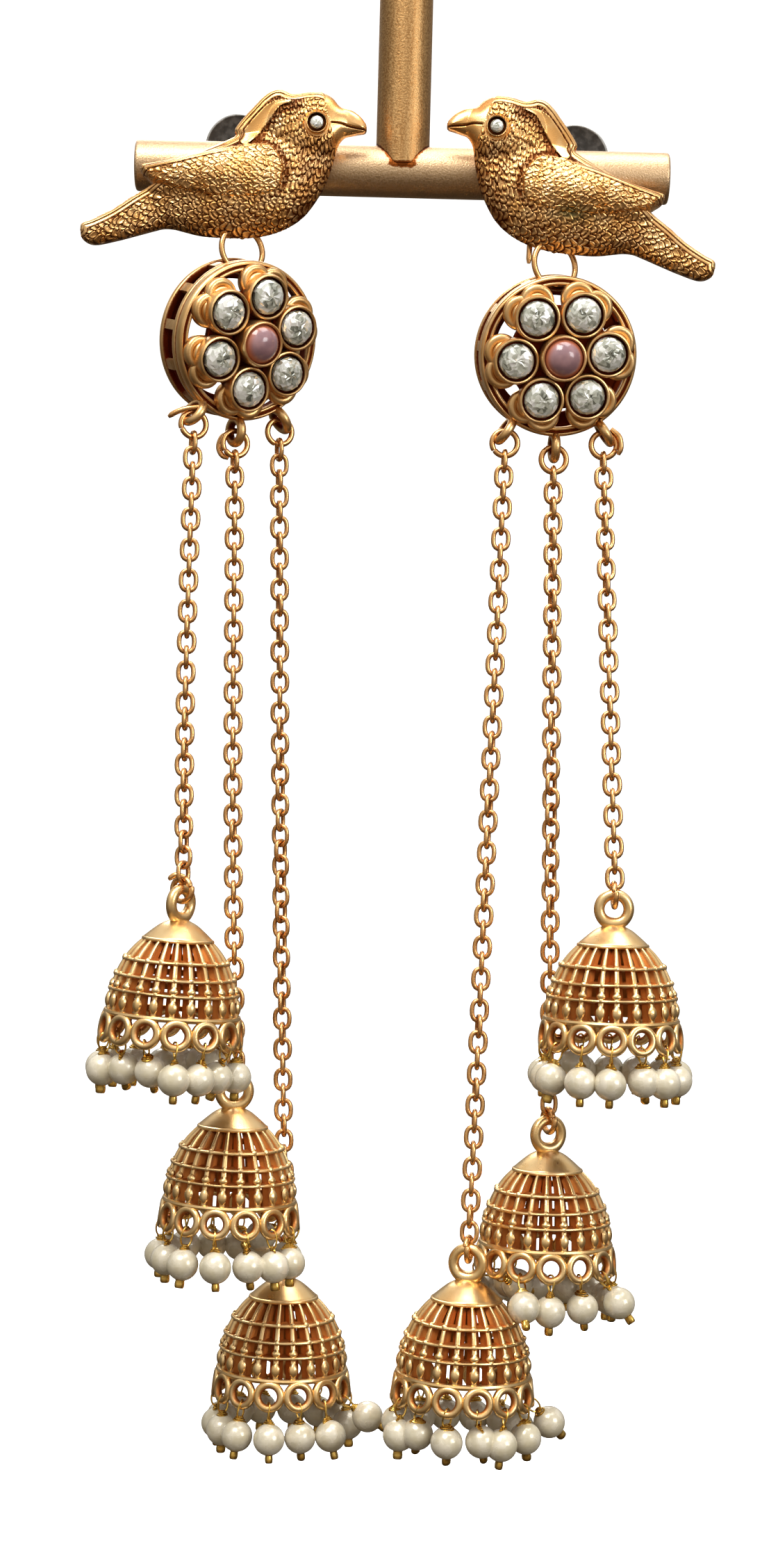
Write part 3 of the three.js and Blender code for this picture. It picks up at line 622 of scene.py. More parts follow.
# %% Pieces
def piece(name, patch, finish, replaced, sharp=35, flat=False):
    """Put a patch into Blender as a piece that stands for CAD nodes.

    The mesh is written as whole arrays: points, the corners of all faces one after
    another, and where each face starts. Edges over sharp degrees stay hard."""
    mesh = bpy.data.meshes.new(name)
    used = patch.faces >= 0
    counts = used.sum(1)
    starts = np.concatenate([[0], np.cumsum(counts)[:-1]])
    mesh.vertices.add(len(patch.points))
    mesh.vertices.foreach_set("co", (patch.points * MM).ravel())
    mesh.loops.add(int(counts.sum()))
    mesh.loops.foreach_set("vertex_index", patch.faces[used].astype(np.int32))
    mesh.polygons.add(len(counts))
    mesh.polygons.foreach_set("loop_start", starts.astype(np.int32))
    mesh.update(calc_edges=True)
    mesh.attributes.new("tone", "FLOAT", "POINT").data.foreach_set("value", patch.tone)
    mesh.polygons.foreach_set("use_smooth", np.full(len(counts), not flat))
    if not flat:
        mesh.set_sharp_from_angle(angle=math.radians(sharp))
    mesh.materials.append(finish)
    made = bpy.data.objects.new(name, mesh)
    scene.collection.objects.link(made)
    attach(made, "root")
    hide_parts(*replaced)
    print(f"{name}: {int((counts - 2).sum())} triangles")
    return made


# %% [markdown]
# ## The stand
# The bar and the post are two tubes brazed in a T. The post's lower edge is filed to a
# saddle: at each angle it ends where the bar's surface is, at height sqrt(R2 - y2) over the
# bar's axis, but no lower than a flat cut in front and behind. The gap under that cut is
# filled with brown lacquer. Each tube is one turned profile with small rounded chamfers.

# %% Bar and post
BAR_RADIUS, POST_RADIUS, BAR_Z = 3.33, 3.5, -32.7
POST_CUT = 0.55  # the post's edge dips to this height over the bar's axis
SEAM_REACH, SEAM_DEPTH = 0.55, 0.25  # the lacquer runs this far from the seam, and fills its gap
SEAM_DARK = 1.35  # over 1, so that the seam's middle is dark all along
SIDES_ROUND = 96
EDGE = [(0, -0.45), (-0.05, -0.22), (-0.18, -0.07), (-0.4, 0)]  # a rounded end: in, and along
bar_half = corner_box("stand")[1][0]


def tube_end(radius, at, sign):
    """The last points of a tube's profile: its rounded edge, then the middle of its flat end."""
    end = [(radius + inwards, at + sign * along) for inwards, along in EDGE] + [(0, at)]
    return end if sign > 0 else end[::-1]


def saddle(y):
    """The filed edge's height over the bar's axis: sqrt(R2 - y2), or the flat cut's if higher."""
    return np.maximum(np.sqrt(np.maximum(BAR_RADIUS**2 - y**2, 0.0)), POST_CUT)


def seam_tone(points):
    """SEAM_DARK - (distance from the post's filed edge) / SEAM_REACH, kept between 0 and 1."""
    from_wall = np.maximum(np.hypot(points[:, 0], points[:, 1]) - POST_RADIUS, 0)
    from_edge = np.abs(points[:, 2] - BAR_Z - saddle(points[:, 1]) + SEAM_DEPTH)
    return np.clip(SEAM_DARK - (from_wall + from_edge) / SEAM_REACH, 0, 1)


near_seam = [(BAR_RADIUS, x) for x in np.linspace(-6, 6, 81)]  # rows close enough to show tone
profile = tube_end(BAR_RADIUS, -bar_half, -1) + near_seam + tube_end(BAR_RADIUS, bar_half, 1)
bar = moved(turned(profile, SIDES_ROUND), placed(shift(0, 0, BAR_Z), turn("Y", 90)))
bar.tone = seam_tone(bar.points)
piece("satin_bar", bar, bar_satin, ["stand"])

# %% The post, row by row
FOOT = [(-0.5, -0.62), (-0.12, -0.48), (-0.10, -0.08)]  # the lacquer's rows: in, and below the edge
around = np.linspace(0, 2 * np.pi, SIDES_ROUND, endpoint=False)
cut = BAR_Z + saddle(POST_RADIUS * np.sin(around))
climb = np.concatenate([np.linspace(0, 0.06, 10), np.linspace(0.1, 1, 10)])[:, None]
foot = [cut[None] + below for _, below in FOOT]
wall = cut + (EDGE[0][1] - cut) * climb
top = [np.full((1, SIDES_ROUND), along) for _, along in EDGE[1:]]
rise = np.concatenate([*foot, wall, *top])
inwards = [*(i for i, _ in FOOT), *[0] * len(climb), *(i for i, _ in EDGE[1:])]
wide = POST_RADIUS + np.array(inwards)[:, None]
grid = np.stack([wide * np.cos(around), wide * np.sin(around), rise], -1)
post = sheet(grid, 0.0, False, [0, 0, BAR_Z], [0, 0, 0])
post.tone = seam_tone(post.points)
piece("brushed_post", post, post_shaded_champagne, ["stand"])

# %% [markdown]
# ## The two earrings
# What the boxes of the CAD nodes don't tell is written here for each side: how far the
# flower faces aside and where its petals start, how the clutch's disc sits off its pin,
# how a bell is turned and leans, and which pearls a neighbour pushes out of place. The
# numbers are the CAD model's, but for the turn of the hanger rings, which swing freely.

# %% Turns and leans
HANG_Y = -4.7  # the plane that the birds and the hanger rings hang in, in millimetres
# hand: 1 where the beak points along X and -1 where it points back
# yaw, first_petal: the flower's turn about Z, and its first petal's turn about its own axis
# hanger: the ring's radius, its lean about X and its turn about Z
# roll: how far the bird leans about Y
# disc: x and z of the clutch disc's middle, from the pin
# lean, turn, loop: a bell's turns about Y and Z, and its top loop's about Z
# pushed: for a pearl, its distance from the bell's axis and how far aside it is, in degrees
SIDES = {
    "left": {
        "hand": 1, "yaw": 35, "first_petal": 26, "hanger": (3.0, -7, 31),
        "roll": 0, "disc": (-1.2, -0.2),
        "bells": [
            {"lean": 3, "turn": -4, "loop": 55, "pushed": {
                1: (6, 0), 2: (6, 0), 3: (7, 0), 9: (7.1, -7), 10: (6.8, 2.5), 13: (7.8, -1)}},
            {"lean": 1, "turn": 4.5, "loop": 10, "pushed": {
                0: (8, 0), 1: (5, 0), 2: (7, 0), 9: (9.6, 0), 10: (9.6, 2.5), 11: (8.5, 5),
                12: (9.6, 0)}},
            {"lean": 0, "turn": 4.5, "loop": 15, "pushed": {
                9: (9.6, -1), 10: (9.6, 1.5), 11: (8.5, 3), 12: (10, 1.5), 13: (12.5, 5)}},
        ],
    },
    "right": {
        "hand": -1, "yaw": 8, "first_petal": 6.8, "hanger": (3.1, -7, 27),
        "roll": 5.7, "disc": (2.2, -0.45),
        "bells": [
            {"lean": 0, "turn": 9, "loop": 0, "pushed": {
                0: (9.3, 5.5), 5: (6, 0), 8: (9.6, -1.5), 9: (9.3, 1), 11: (7.8, 7.5)}},
            {"lean": 0, "turn": -11, "loop": 25, "pushed": {
                0: (8.9, 7.5), 6: (8.9, -5), 7: (9.9, -12), 8: (4.9, 0), 9: (4.9, 0),
                10: (11, 8), 12: (8.2, 7), 13: (11.3, 4.5)}},
            {"lean": 1, "turn": -1.5, "loop": -15, "pushed": {
                0: (11.6, 9.5), 7: (8.5, -12), 9: (7.5, -11), 10: (7.8, -1), 11: (7.5, 8),
                13: (8.9, 6.5)}},
        ],
    },
}
print("pearls pushed aside:", sum(len(b["pushed"]) for s in SIDES.values() for b in s["bells"]))

# %% [markdown]
# ## Rings of wire
# Hanger rings, jump rings and end links are bent from round wire, so each is a tube along
# a circle. A bent ring is never quite closed: its ends lie a little apart, one before the
# other, which is the offset at the gap below.

# %% Hanger rings, jump rings and end links
RING_RADIUS, RING_WIRE, LINK_RADIUS = 1.65, 0.38, 1.5
RING_GAP, RING_PARTING = 1.2, 0.25  # degrees left open, and how far the ends lie apart
NIPPED, NIP_GROWTH = 0.88, 9  # a cut end's share of the wire, and how fast it gets full from there
JUMP_TURN = 0.6  # a jump ring is turned by this share of its flower's turn
HANGER_GAP, LINK_GAP = 100, 160  # where these rings are open, in degrees from X
JUMP_GAPS = {"left": (200, 215, 250), "right": (340, 130, 215)}


def bent_ring(radius, wire, gap_at):
    """An open ring: (r cos a, RING_PARTING (share - 1/2), r sin a) from the gap right round."""
    share = np.linspace(0, 1, 45)
    angle = np.radians(gap_at + RING_GAP / 2) + share * np.radians(360 - RING_GAP)
    across = RING_PARTING * (share - 0.5)
    path = np.stack([radius * np.cos(angle), across, radius * np.sin(angle)], -1)
    nipped = np.minimum(1, NIPPED + NIP_GROWTH * np.minimum(share, 1 - share))
    return tube(path, (0, 1, 0), wire * nipped, 12)


def ring_piece(name, node, radius, gap_at, *turns):
    """A bent ring in the place of a CAD node, turned about its middle."""
    at = placed(shift(*middle(node)), *turns)
    ring = moved(bent_ring(radius, RING_WIRE, gap_at), at)
    piece(name, ring, chain_gold, [node])


for name, side in SIDES.items():
    radius, lean, yaw = side["hanger"]
    ring_piece(f"{name}_hanger_wire", f"{name}_hanger_ring", radius, HANGER_GAP,
               turn("Z", yaw), turn("X", lean))
    for n, (gap_at, bell) in enumerate(zip(JUMP_GAPS[name], side["bells"]), 1):
        ring_piece(f"{name}_jump_wire_{n}", f"{name}_jump_ring_{n}", RING_RADIUS, gap_at,
                   turn("Z", side["yaw"] * JUMP_TURN))
        ring_piece(f"{name}_link_wire_{n}", f"{name}_bell_link_{n}", LINK_RADIUS, LINK_GAP,
                   turn("Y", bell["lean"]), turn("Z", bell["loop"] + 90))

# %% [markdown]
# Bent by hand, some rings are untidy: an end left long, a second turn, or a cut end that
# lies on top of the first. Each is a short wire beside its ring.

# %% Loose wire ends
LOOSE = {  # a node, then the wire's path from that node's middle
    "left_jump_ring_1": [(1.0, -0.7, 2.2), (-0.9, -0.9, 1.9), (-2.3, -0.8, 1.4), (-3.2, -0.5, 0.85)],
    "left_jump_ring_2": [
        (-0.4, 0.7, 1.5), (-1.7, 0.8, 1.0), (-2.2, 0.8, -0.3), (-1.8, 0.6, -1.4), (-0.9, 0.5, -1.9)],
    "left_bell_link_1": [(0.3, -0.5, 1.6), (-0.8, -0.6, 1.9), (-1.7, -0.4, 1.3)],
    "right_jump_ring_1": [(0.8, -0.6, 2.0), (1.9, -0.6, 1.1), (2.2, -0.6, -0.2), (1.9, -0.5, -1.3)],
    "right_hanger_ring": [(-3.25, 0.6, 3.2), (-3.3, 0.5, 2.0), (-3.35, 0.4, 0.2)],
}
LOOSE_POINTS, LOOSE_TIP = 24, 0.24  # points along such a wire, and the radius of its cut tip
share = np.linspace(0, 1, LOOSE_POINTS)
taper = np.interp(share, [0, 0.85, 1], [RING_WIRE, RING_WIRE, LOOSE_TIP]) * 0.95
for node, path in LOOSE.items():
    end = tube(curve(path, LOOSE_POINTS) + middle(node), (0, 1, 0.3), taper, 12)
    piece(f"{node}_loose_end", end, chain_gold, [node])

# %% [markdown]
# ## Cable chains
# A cable chain is oval wire links, each turned a quarter against the one before. One link
# is made once and copied along the middle line of the CAD tube, which is found again from
# the tube's rings of corners. The first and the last few links turn a little more, to sit
# square in the jump ring and in the bell's link, and some chains hang slightly twisted.
# Where the last link would lie flat against the bell's, the chain gets one link more.

# %% A chain's line and its link
LINK_WIRE = 0.31
LINK_HALF, LINK_WIDE = 1.31, 0.98  # half the length and half the width of a link's middle line
LINK_PITCH = 2.04


def chain_line(node):
    """The middle of each ring of corners of a CAD tube, from the top down.

    A drop of more than 2 mm from one corner to the next marks a new ring."""
    points = corners(node)
    points = points[np.argsort(-points[:, 2])]
    cuts = np.nonzero(np.diff(points[:, 2]) < -2)[0] + 1
    return np.array([group.mean(0) for group in np.split(points, cuts)])


def fuller(value):
    """|v| ** 0.8 with the sign of v, which makes an ellipse a little squarer."""
    return np.sign(value) * np.abs(value) ** 0.8


def oval_link():
    """A link in the XZ plane: (w cos a, 0, h sin a) with both numbers made fuller.

    Its tone is high at both ends, where links meet, and on its inner side."""
    a = np.linspace(0, 2 * np.pi, 20, endpoint=False)
    path = np.stack([LINK_WIDE * fuller(np.cos(a)), 0 * a, LINK_HALF * fuller(np.sin(a))], -1)
    link = tube(path, (0, 1, 0), LINK_WIRE, 8, loop=True)
    x, z = link.points[:, 0], link.points[:, 2]
    ends = np.abs(z) / (LINK_HALF + LINK_WIRE)
    inner = np.clip(1 - np.hypot(x / LINK_WIDE, z / LINK_HALF), 0, 1)
    link.tone = np.clip(ends**4 * 0.5 + inner * 2.2, 0, 1)
    return link


one_link = oval_link()
print("one link:", len(one_link.faces), "faces")

# %% Six chains
TWIST = {  # in degrees
    "left_chain_1": 4, "left_chain_2": 4, "left_chain_3": 26,
    "right_chain_1": 8, "right_chain_2": 30, "right_chain_3": 12}
FADE = 3  # the turn at a chain's end fades to a third over this many links
SLACK = 4  # degrees that each link is off its place


def link_matrices(line, start_angle, end_angle, twist, seed):
    """One matrix for each link: even steps along the line, and quarter turns from link to link.

    The links start and end square to their rings, by the nearest number of quarter turns
    and by corrections exp(-links from the end / FADE). A slow twist runs along the middle."""
    line = curve(line, 400)
    along = np.concatenate([[0], np.cumsum(np.linalg.norm(np.diff(line, axis=0), axis=1))])
    first, last = ((goal + 45) % 90 - 45 for goal in (start_angle, end_angle))
    start_quarter, end_quarter = round((start_angle - first) / 90), round((end_angle - last) / 90)
    count = round(along[-1] / LINK_PITCH) + 1
    count += (start_quarter + count - 1 - end_quarter) % 2
    at = np.linspace(0, along[-1], count)
    centre = np.stack([np.interp(at, along, line[:, n]) for n in range(3)], -1)
    down = np.gradient(centre, axis=0)
    down /= np.linalg.norm(down, axis=1, keepdims=True)
    share = np.linspace(0, 1, count)
    quarter = 90 * (start_quarter + np.arange(count))
    ends = first * np.exp(-share * count / FADE) + last * np.exp((share - 1) * count / FADE)
    sway = np.sin(share * np.pi) * np.sin(share * 7 + seed) * twist
    loose = np.random.default_rng(seed).normal(0, SLACK, count) * np.sin(share * np.pi)
    angle = np.radians(quarter + ends + sway + loose)
    up = -down
    wide = np.stack([np.cos(angle), np.sin(angle), np.zeros(count)], -1)
    wide -= (wide * up).sum(1, keepdims=True) * up
    wide /= np.linalg.norm(wide, axis=1, keepdims=True)
    matrices = np.tile(np.eye(4), (count, 1, 1))
    matrices[:, :3] = np.stack([wide, np.cross(up, wide), up, centre], -1)
    return matrices


for name, side in SIDES.items():
    for n, bell in enumerate(side["bells"], 1):
        node = f"{name}_chain_{n}"
        start_angle = 90 + side["yaw"] * JUMP_TURN
        matrices = link_matrices(
            chain_line(node), start_angle, bell["loop"], TWIST[node], n + len(name))
        links = copies(one_link, matrices)
        piece(f"{name}_cable_{n}", links, chain_gold, [node], sharp=60)
        print(node, "has", len(matrices), "links")

# %% [markdown]
# ## Pierced bells
# A bell is a cast dome over a net of upright ribs and level wires, with a row of cast
# rings along its rim. The wall's outline is part of an ellipse. A rib is a wedge carried
# along that outline: narrow in front and wide behind, as a mould has to be to let the
# casting go. That is why one hardly sees through such a bell: the windows narrow to slits
# between inner faces. The level wires have the same wedge behind them. These inner faces
# and the inside of the dome are toned deep, which paints them brown: painted shade for
# the dark inside of the bell. Small beads sit at the crossings, and in the two lower rows
# each rib swells to a bud.

# %% Bell sizes
# All heights of a bell are from its dome's top, downwards below zero, in millimetres.
BELL_HEIGHT, RIM_RADIUS, WALL_ELLIPSE = 12.3, 8.45, 11.23
WALL_TOP, DOME_EDGE, DOME_SLOPE = -2.67, 4.35, -1.1  # above its top, the wall follows the dome
RIBS, LOBES = 22, 14
LEVELS = (-5.35, -7.4, -9.3)
PEARL_RADIUS, PEARL_CIRCLE, WIRE_LENGTH = 2.05, 8.9, 4.2
PIVOT = (8.65, -15.4)  # radius and height of the point that a pearl swings about
RIM_LOOP, RIM_LOOP_WIRE = 1.55, 0.52
RIM_LOOP_OUT, RIM_LOOP_Z, RIM_LOOP_LEAN = 8.62, -14.15, -7  # its middle, and its lean in degrees
TOP_LOOP, TOP_LOOP_WIRE = 1.9, 0.7


def wall_radius(z):
    """Outer radius of the wall at height z: R sqrt(1 - ((z + BELL_HEIGHT) / WALL_ELLIPSE)2)."""
    return RIM_RADIUS * np.sqrt(1 - ((z + BELL_HEIGHT) / WALL_ELLIPSE) ** 2)


print("radius of the wall at each level wire:", [round(float(wall_radius(z)), 2) for z in LEVELS])

# %% The dome, its loop and the level wires
DOME = [
    (4.45, -2.75), (4.38, -2.45), (3.95, -2.05), (3.2, -1.4), (2.3, -0.72), (1.2, -0.2), (0.5, -0.03)]
DOME_LIP = (4.2, -2.95)
DOME_INSIDE = [(0, -0.8), (1.5, -1.1), (2.7, -1.8), (3.5, -2.5), (3.9, -2.85)]


def dome_and_loop(loop_turn):
    """The dome as a turned shell, and a thick ring that stands on it with its foot sunk in."""
    outside = curve(DOME, 22)
    # painted shade: the inside of the dome and its lip are toned deep
    tone = [0.9] * len(DOME_INSIDE) + [0.8] + [0.0] * (len(outside) + 1)
    shell = turned([*DOME_INSIDE, DOME_LIP, *outside, (0, 0)], 72, tone)
    path = circle(TOP_LOOP, 40)
    foot = np.clip(-path[:, 2] / TOP_LOOP, 0, 1) ** 3
    ring = tube(path, (0, 1, 0), TOP_LOOP_WIRE + 0.15 * foot, 18, loop=True)
    out = np.hypot(ring.points[:, 0], ring.points[:, 2])
    ring.tone = np.clip(1.1 - out / (TOP_LOOP - 0.25), 0, 1) * 0.6
    return joined([shell, moved(ring, placed(turn("Z", loop_turn), shift(0, 0, TOP_LOOP)))])


def level_wire(z, radius, wire, wobble, seed):
    """A level wire: (r cos a, r sin a, z + wobble (sin 2a / 2 + sin 3a / 3 + sin 5a / 5)).

    The three waves start at random."""
    angle = np.linspace(0, 2 * np.pi, 132, endpoint=False)
    phase = np.random.default_rng(seed).uniform(0, 6.28, 3)
    rise = sum(np.sin(k * angle + p) / k for k, p in zip((2, 3, 5), phase)) * wobble
    path = np.stack([radius * np.cos(angle), radius * np.sin(angle), z + rise], -1)
    ring = tube(path, (0, 0, 1), wire, 8, loop=True)
    ring.tone = inner_tone(ring, radius, wire, (0, 1))
    return ring


print("dome and loop:", len(dome_and_loop(0).points), "points")

# %% Ribs, beads and buds
# the tone is high on the rib's inner faces, as painted shade
RIB = [  # half width as a share of the ribs' spacing, depth behind the wall and tone
    (0.06, -0.07, 0), (0.13, 0.02, 0), (0.15, 0.16, 0.1), (0.16, 0.35, 0.6), (0.24, 0.70, 1),
    (0.36, 1.05, 1), (0.30, 1.18, 1), (0.10, 1.22, 1)]
RIB_BOTTOM, RIB_TOP, RIB_SINK = -12.25, -2.1, 0.1  # a rib's top is sunk this far into the dome


def rib():
    """An upright wedge: at each height the section is (radius - depth, share x spacing)."""
    z = np.linspace(RIB_BOTTOM, RIB_TOP, 34)
    under_dome = DOME_EDGE + (z - WALL_TOP) * DOME_SLOPE - RIB_SINK
    radius = np.where(z > WALL_TOP, under_dome, wall_radius(np.minimum(z, WALL_TOP)))
    share, depth, tone = np.array(RIB).T
    share = np.concatenate([share, -share[::-1]])
    depth, tone = (np.concatenate([v, v[::-1]]) for v in (depth, tone))
    spacing = (2 * np.pi * radius / RIBS)[:, None]
    grid = np.stack(np.broadcast_arrays(radius[:, None] - depth, share * spacing, z[:, None]), -1)
    return sheet(grid, tone, False, grid[0].mean(0), grid[-1].mean(0))


# the tone is high on the wedge's inner faces, as painted shade
WEDGE = [  # depth and height from a level wire's middle, and tone
    (-0.05, -0.16, 0.2), (-0.05, 0.16, 0.2), (-0.4, 0.2, 0.8), (-1.0, 0.42, 1), (-1.15, 0.3, 1),
    (-1.15, -0.3, 1), (-1.0, -0.42, 1), (-0.4, -0.2, 0.8)]


def web(z):
    """The wedge behind a level wire: a closed profile turned round the bell."""
    profile = np.array(WEDGE)
    return turned(profile[:, :2] + (wall_radius(z), z), 66, profile[:, 2], rows_close=True)


BEAD = 0.46  # half a bead's height, and its half width
BUDS = [  # top, widest place, bottom, half width and depth
    (-7.75, -8.75, -9.25, 0.60, 0.75), (-9.65, -10.75, -11.95, 0.63, 0.75)]


def bud(top, widest, bottom, wide, deep, sides=10):
    """A drop on the wall: half width = wide sin(pi s ** q) ** 0.8; q puts its widest place low."""
    share = np.linspace(0, 1, 12)
    q = math.log(0.5) / math.log((top - widest) / (top - bottom))
    half = wide * np.maximum(np.sin(np.pi * share**q), 0) ** 0.8
    z = top + (bottom - top) * share
    path = np.stack([wall_radius(z) - 0.1, 0 * z, z], -1)[1:-1]
    return tube(path, (0, 1, 0), half[1:-1], sides, flat=deep)


def net(seed):
    """All ribs, beads and buds of a bell. Each rib stands a little off its even place."""
    beads = [bud(z + BEAD, z, z - BEAD, BEAD, 0.95, 8) for z in LEVELS]
    one = joined([rib(), *beads, *(bud(*sizes) for sizes in BUDS)])
    off = np.random.default_rng(seed).normal(0, 0.5, RIBS)
    return copies(one, [turn("Z", a) for a in np.arange(RIBS) * 360 / RIBS + off])


def rim_loops():
    """Cast rings side by side under the rim: circles in upright planes that lean outwards."""
    one = tube(circle(RIM_LOOP, 32), (0, 1, 0), RIM_LOOP_WIRE, 12, loop=True)
    one.tone = inner_tone(one, RIM_LOOP, RIM_LOOP_WIRE) * 0.9
    place = placed(shift(RIM_LOOP_OUT, 0, RIM_LOOP_Z), turn("Y", RIM_LOOP_LEAN), turn("Z", 90))
    ring = moved(one, place)
    return copies(ring, [turn("Z", k * 360 / LOBES) for k in range(LOBES)])


print("one net:", len(net(1).points), "points")

# %% [markdown]
# A pearl hangs in its ring by a brass wire. The wire runs up through the ring and back,
# ends in two or three turns on top of the pearl, and is pinched to a crimp below it. No
# two pearls are wound alike, so each gets its own number of turns and its own twist.

# %% Pearls on their wires
PEARL_WIRE = 0.13
EYE_WIDE, EYE_BEND, EYE_HIGH, EYE_DROP = 0.72, 0.12, 1.22, -0.72  # the wire's eye through the ring
CRIMP = [  # radius, and height from the pearl's foot
    (0, -0.95), (0.5, -0.95), (0.62, -0.8), (0.66, -0.4), (0.6, 0), (0.66, 0.1), (0.3, 0.3), (0, 0.3)]


def coil(head, turns, start):
    """Turns of wire on a pearl's head: a spiral that widens as it goes down.

    At share t it is (r cos(2 pi turns t + start), r sin(2 pi turns t)), r = 0.32 + 0.45 t."""
    t = np.linspace(0, 1, int(14 * turns))
    spread, angle = 0.32 + 0.45 * t, 2 * np.pi * turns * t
    path = [spread * np.cos(angle + start), spread * np.sin(angle), head + 0.45 - 0.62 * t]
    return tube(np.stack(path, -1), (0, 0, 1), PEARL_WIRE, 6)


def pearl_parts(seed):
    """A pearl, and its brass: a wire through the ring above, turns on top and a crimp below.

    The wire's eye is (EYE_WIDE cos a, EYE_BEND sin 2a, EYE_DROP + EYE_HIGH sin a). All
    hang from the origin, where the pearl swings."""
    rng = np.random.default_rng(seed)
    rise = np.linspace(-np.pi / 2, np.pi / 2, 19)
    profile = np.stack([PEARL_RADIUS * np.cos(rise), PEARL_RADIUS * np.sin(rise)], -1)
    profile[[0, -1], 0] = 0
    pearl = moved(turned(profile, 28), shift(0, 0, -WIRE_LENGTH))
    head, foot = PEARL_RADIUS - WIRE_LENGTH, -WIRE_LENGTH - PEARL_RADIUS
    a = np.linspace(0, 2 * np.pi, 30, endpoint=False)
    eye = [EYE_WIDE * np.cos(a), EYE_BEND * np.sin(2 * a), EYE_DROP + EYE_HIGH * np.sin(a)]
    turns, start = rng.uniform(2.1, 3.2), rng.uniform(0, 6, 2)[0]
    crimp = turned([(radius, foot + z) for radius, z in CRIMP], 14)
    crimp.points[:, 1] *= 0.8
    stem = tube([(0, 0, head + 0.5), (0, 0, head - 0.3)], (1, 0, 0), 0.3, 8)
    wire = tube(np.stack(eye, -1), (0, 1, 0), PEARL_WIRE, 6, loop=True)
    brass = joined([wire, coil(head, turns, start), crimp, stem])
    return pearl, moved(brass, turn("Z", rng.uniform(-35, 35)))


def pearl_matrix(index, radius, aside):
    """Where a pearl hangs: swung out to its circle, and pushed aside round the bell.

    It swings about PIVOT, out by asin((radius - PEARL_CIRCLE) / WIRE_LENGTH), at most 64
    degrees, and aside by as much as moves it aside degrees round the bell."""
    swing = math.degrees(math.asin(max(-0.9, min(0.9, (radius - PEARL_CIRCLE) / WIRE_LENGTH))))
    return placed(turn("Z", index * 360 / LOBES), shift(PIVOT[0], 0, PIVOT[1]),
                  turn("X", aside * radius / WIRE_LENGTH), turn("Y", -swing))


print("a pearl and its wires:", [len(part.faces) for part in pearl_parts(1)], "faces")

# %% Six bells
OPENING_TOP, OPENING_MIDDLE = 5.3, 9.05  # the free space inside a bell, below its dome's top
DOME_WIRE_RADIUS, DOME_WIRE_Z = 4.4, -2.72
RIM_WIRE_RADIUS, RIM_WIRE_Z = RIM_RADIUS - 0.03, -12.22
LEVEL_PROUD = 0.08  # the middle of a level wire stands this far out of the wall
LEVEL_WIRE, DOME_WIRE, RIM_WIRE = (0.2, 0.07), (0.26, 0.0), (0.38, 0.03)  # radius and wobble


def bell_place(node, bell):
    """The dome's top and the bell's turn, from the free space that the record gives for it."""
    low, high = openings[f"{node}_inside"]
    aside = math.sin(math.radians(bell["lean"])) * OPENING_MIDDLE
    top = ((low[0] + high[0]) / 2 + aside, (low[1] + high[1]) / 2, high[2] + OPENING_TOP)
    return placed(shift(*top), turn("Y", bell["lean"]), turn("Z", bell["turn"]))


def bell_casting(bell, seed):
    """Everything of a bell that is cast in one: dome, net, wires with their wedges and rings."""
    levels = [(z, wall_radius(z) + LEVEL_PROUD) for z in LEVELS]
    return joined([
        dome_and_loop(bell["loop"] - bell["turn"]), net(seed), rim_loops(),
        level_wire(DOME_WIRE_Z, DOME_WIRE_RADIUS, *DOME_WIRE, seed),
        *(level_wire(z, radius, *LEVEL_WIRE, seed + k) for k, (z, radius) in enumerate(levels)),
        *(web(z) for z in LEVELS),
        level_wire(RIM_WIRE_Z, RIM_WIRE_RADIUS, *RIM_WIRE, seed),
    ])


for name, side in SIDES.items():
    for n, bell in enumerate(side["bells"], 1):
        node = f"{name}_bell_{n}"
        seed = n + 3 * (name == "right")
        rng = np.random.default_rng(seed)
        place = bell_place(node, bell)
        casting = moved(bell_casting(bell, seed), place)
        piece(f"{node}_casting", casting, bell_gold, [node])
        pearls, brass = [], []
        for k in range(LOBES):
            pearl, wires = pearl_parts(100 * seed + k)
            free = PEARL_CIRCLE + rng.normal(0, 0.15), rng.normal(0, 0.8)
            at = placed(place, pearl_matrix(k, *bell["pushed"].get(k, free)))
            pearls.append(moved(pearl, at))
            brass.append(moved(wires, at))
        piece(f"{node}_pearls", joined(pearls), pearl_skin, [node], 80)
        piece(f"{node}_wires", joined(brass), wire_brass, [node])

# %% [markdown]
# ## Flowers
# A flower is a shallow drum. Its side wall is two rims with short bridges between them,
# so light gets in behind the settings, and the rear rim is thin with a broad flange
# inside. Six settings stand round a taller one. Each is a round collar over two pairs of
# scalloped lobes, one pair behind the other, which carry it on the front rim. Rims, lobes
# and collars are all profiles turned round an axis. The profiles hold a tone as a third
# number, so grooves come out dark. The front rim's inner wall, the flange's front face and
# the plate behind the settings get a high tone too, which is painted shade.

# %% Flower sizes
DRUM_TILT = 13  # degrees that its face looks down
PETALS, PETAL_CIRCLE = 6, 6.0  # count and radius in mm
SEAT = 5.867  # the middle of the outer stones' corners lies this far before the drum's centre
CENTRE_RISE = 1.0  # of the middle setting over the others
LUG_RADIUS, LUG_WIRE = 1.5, 0.6
RING_LIFT = 0.05  # how far a jump ring's top wire lies over the middle of its lug
FACING = turn("X", 90)  # profiles are turned round Z, and this points their Z to the front
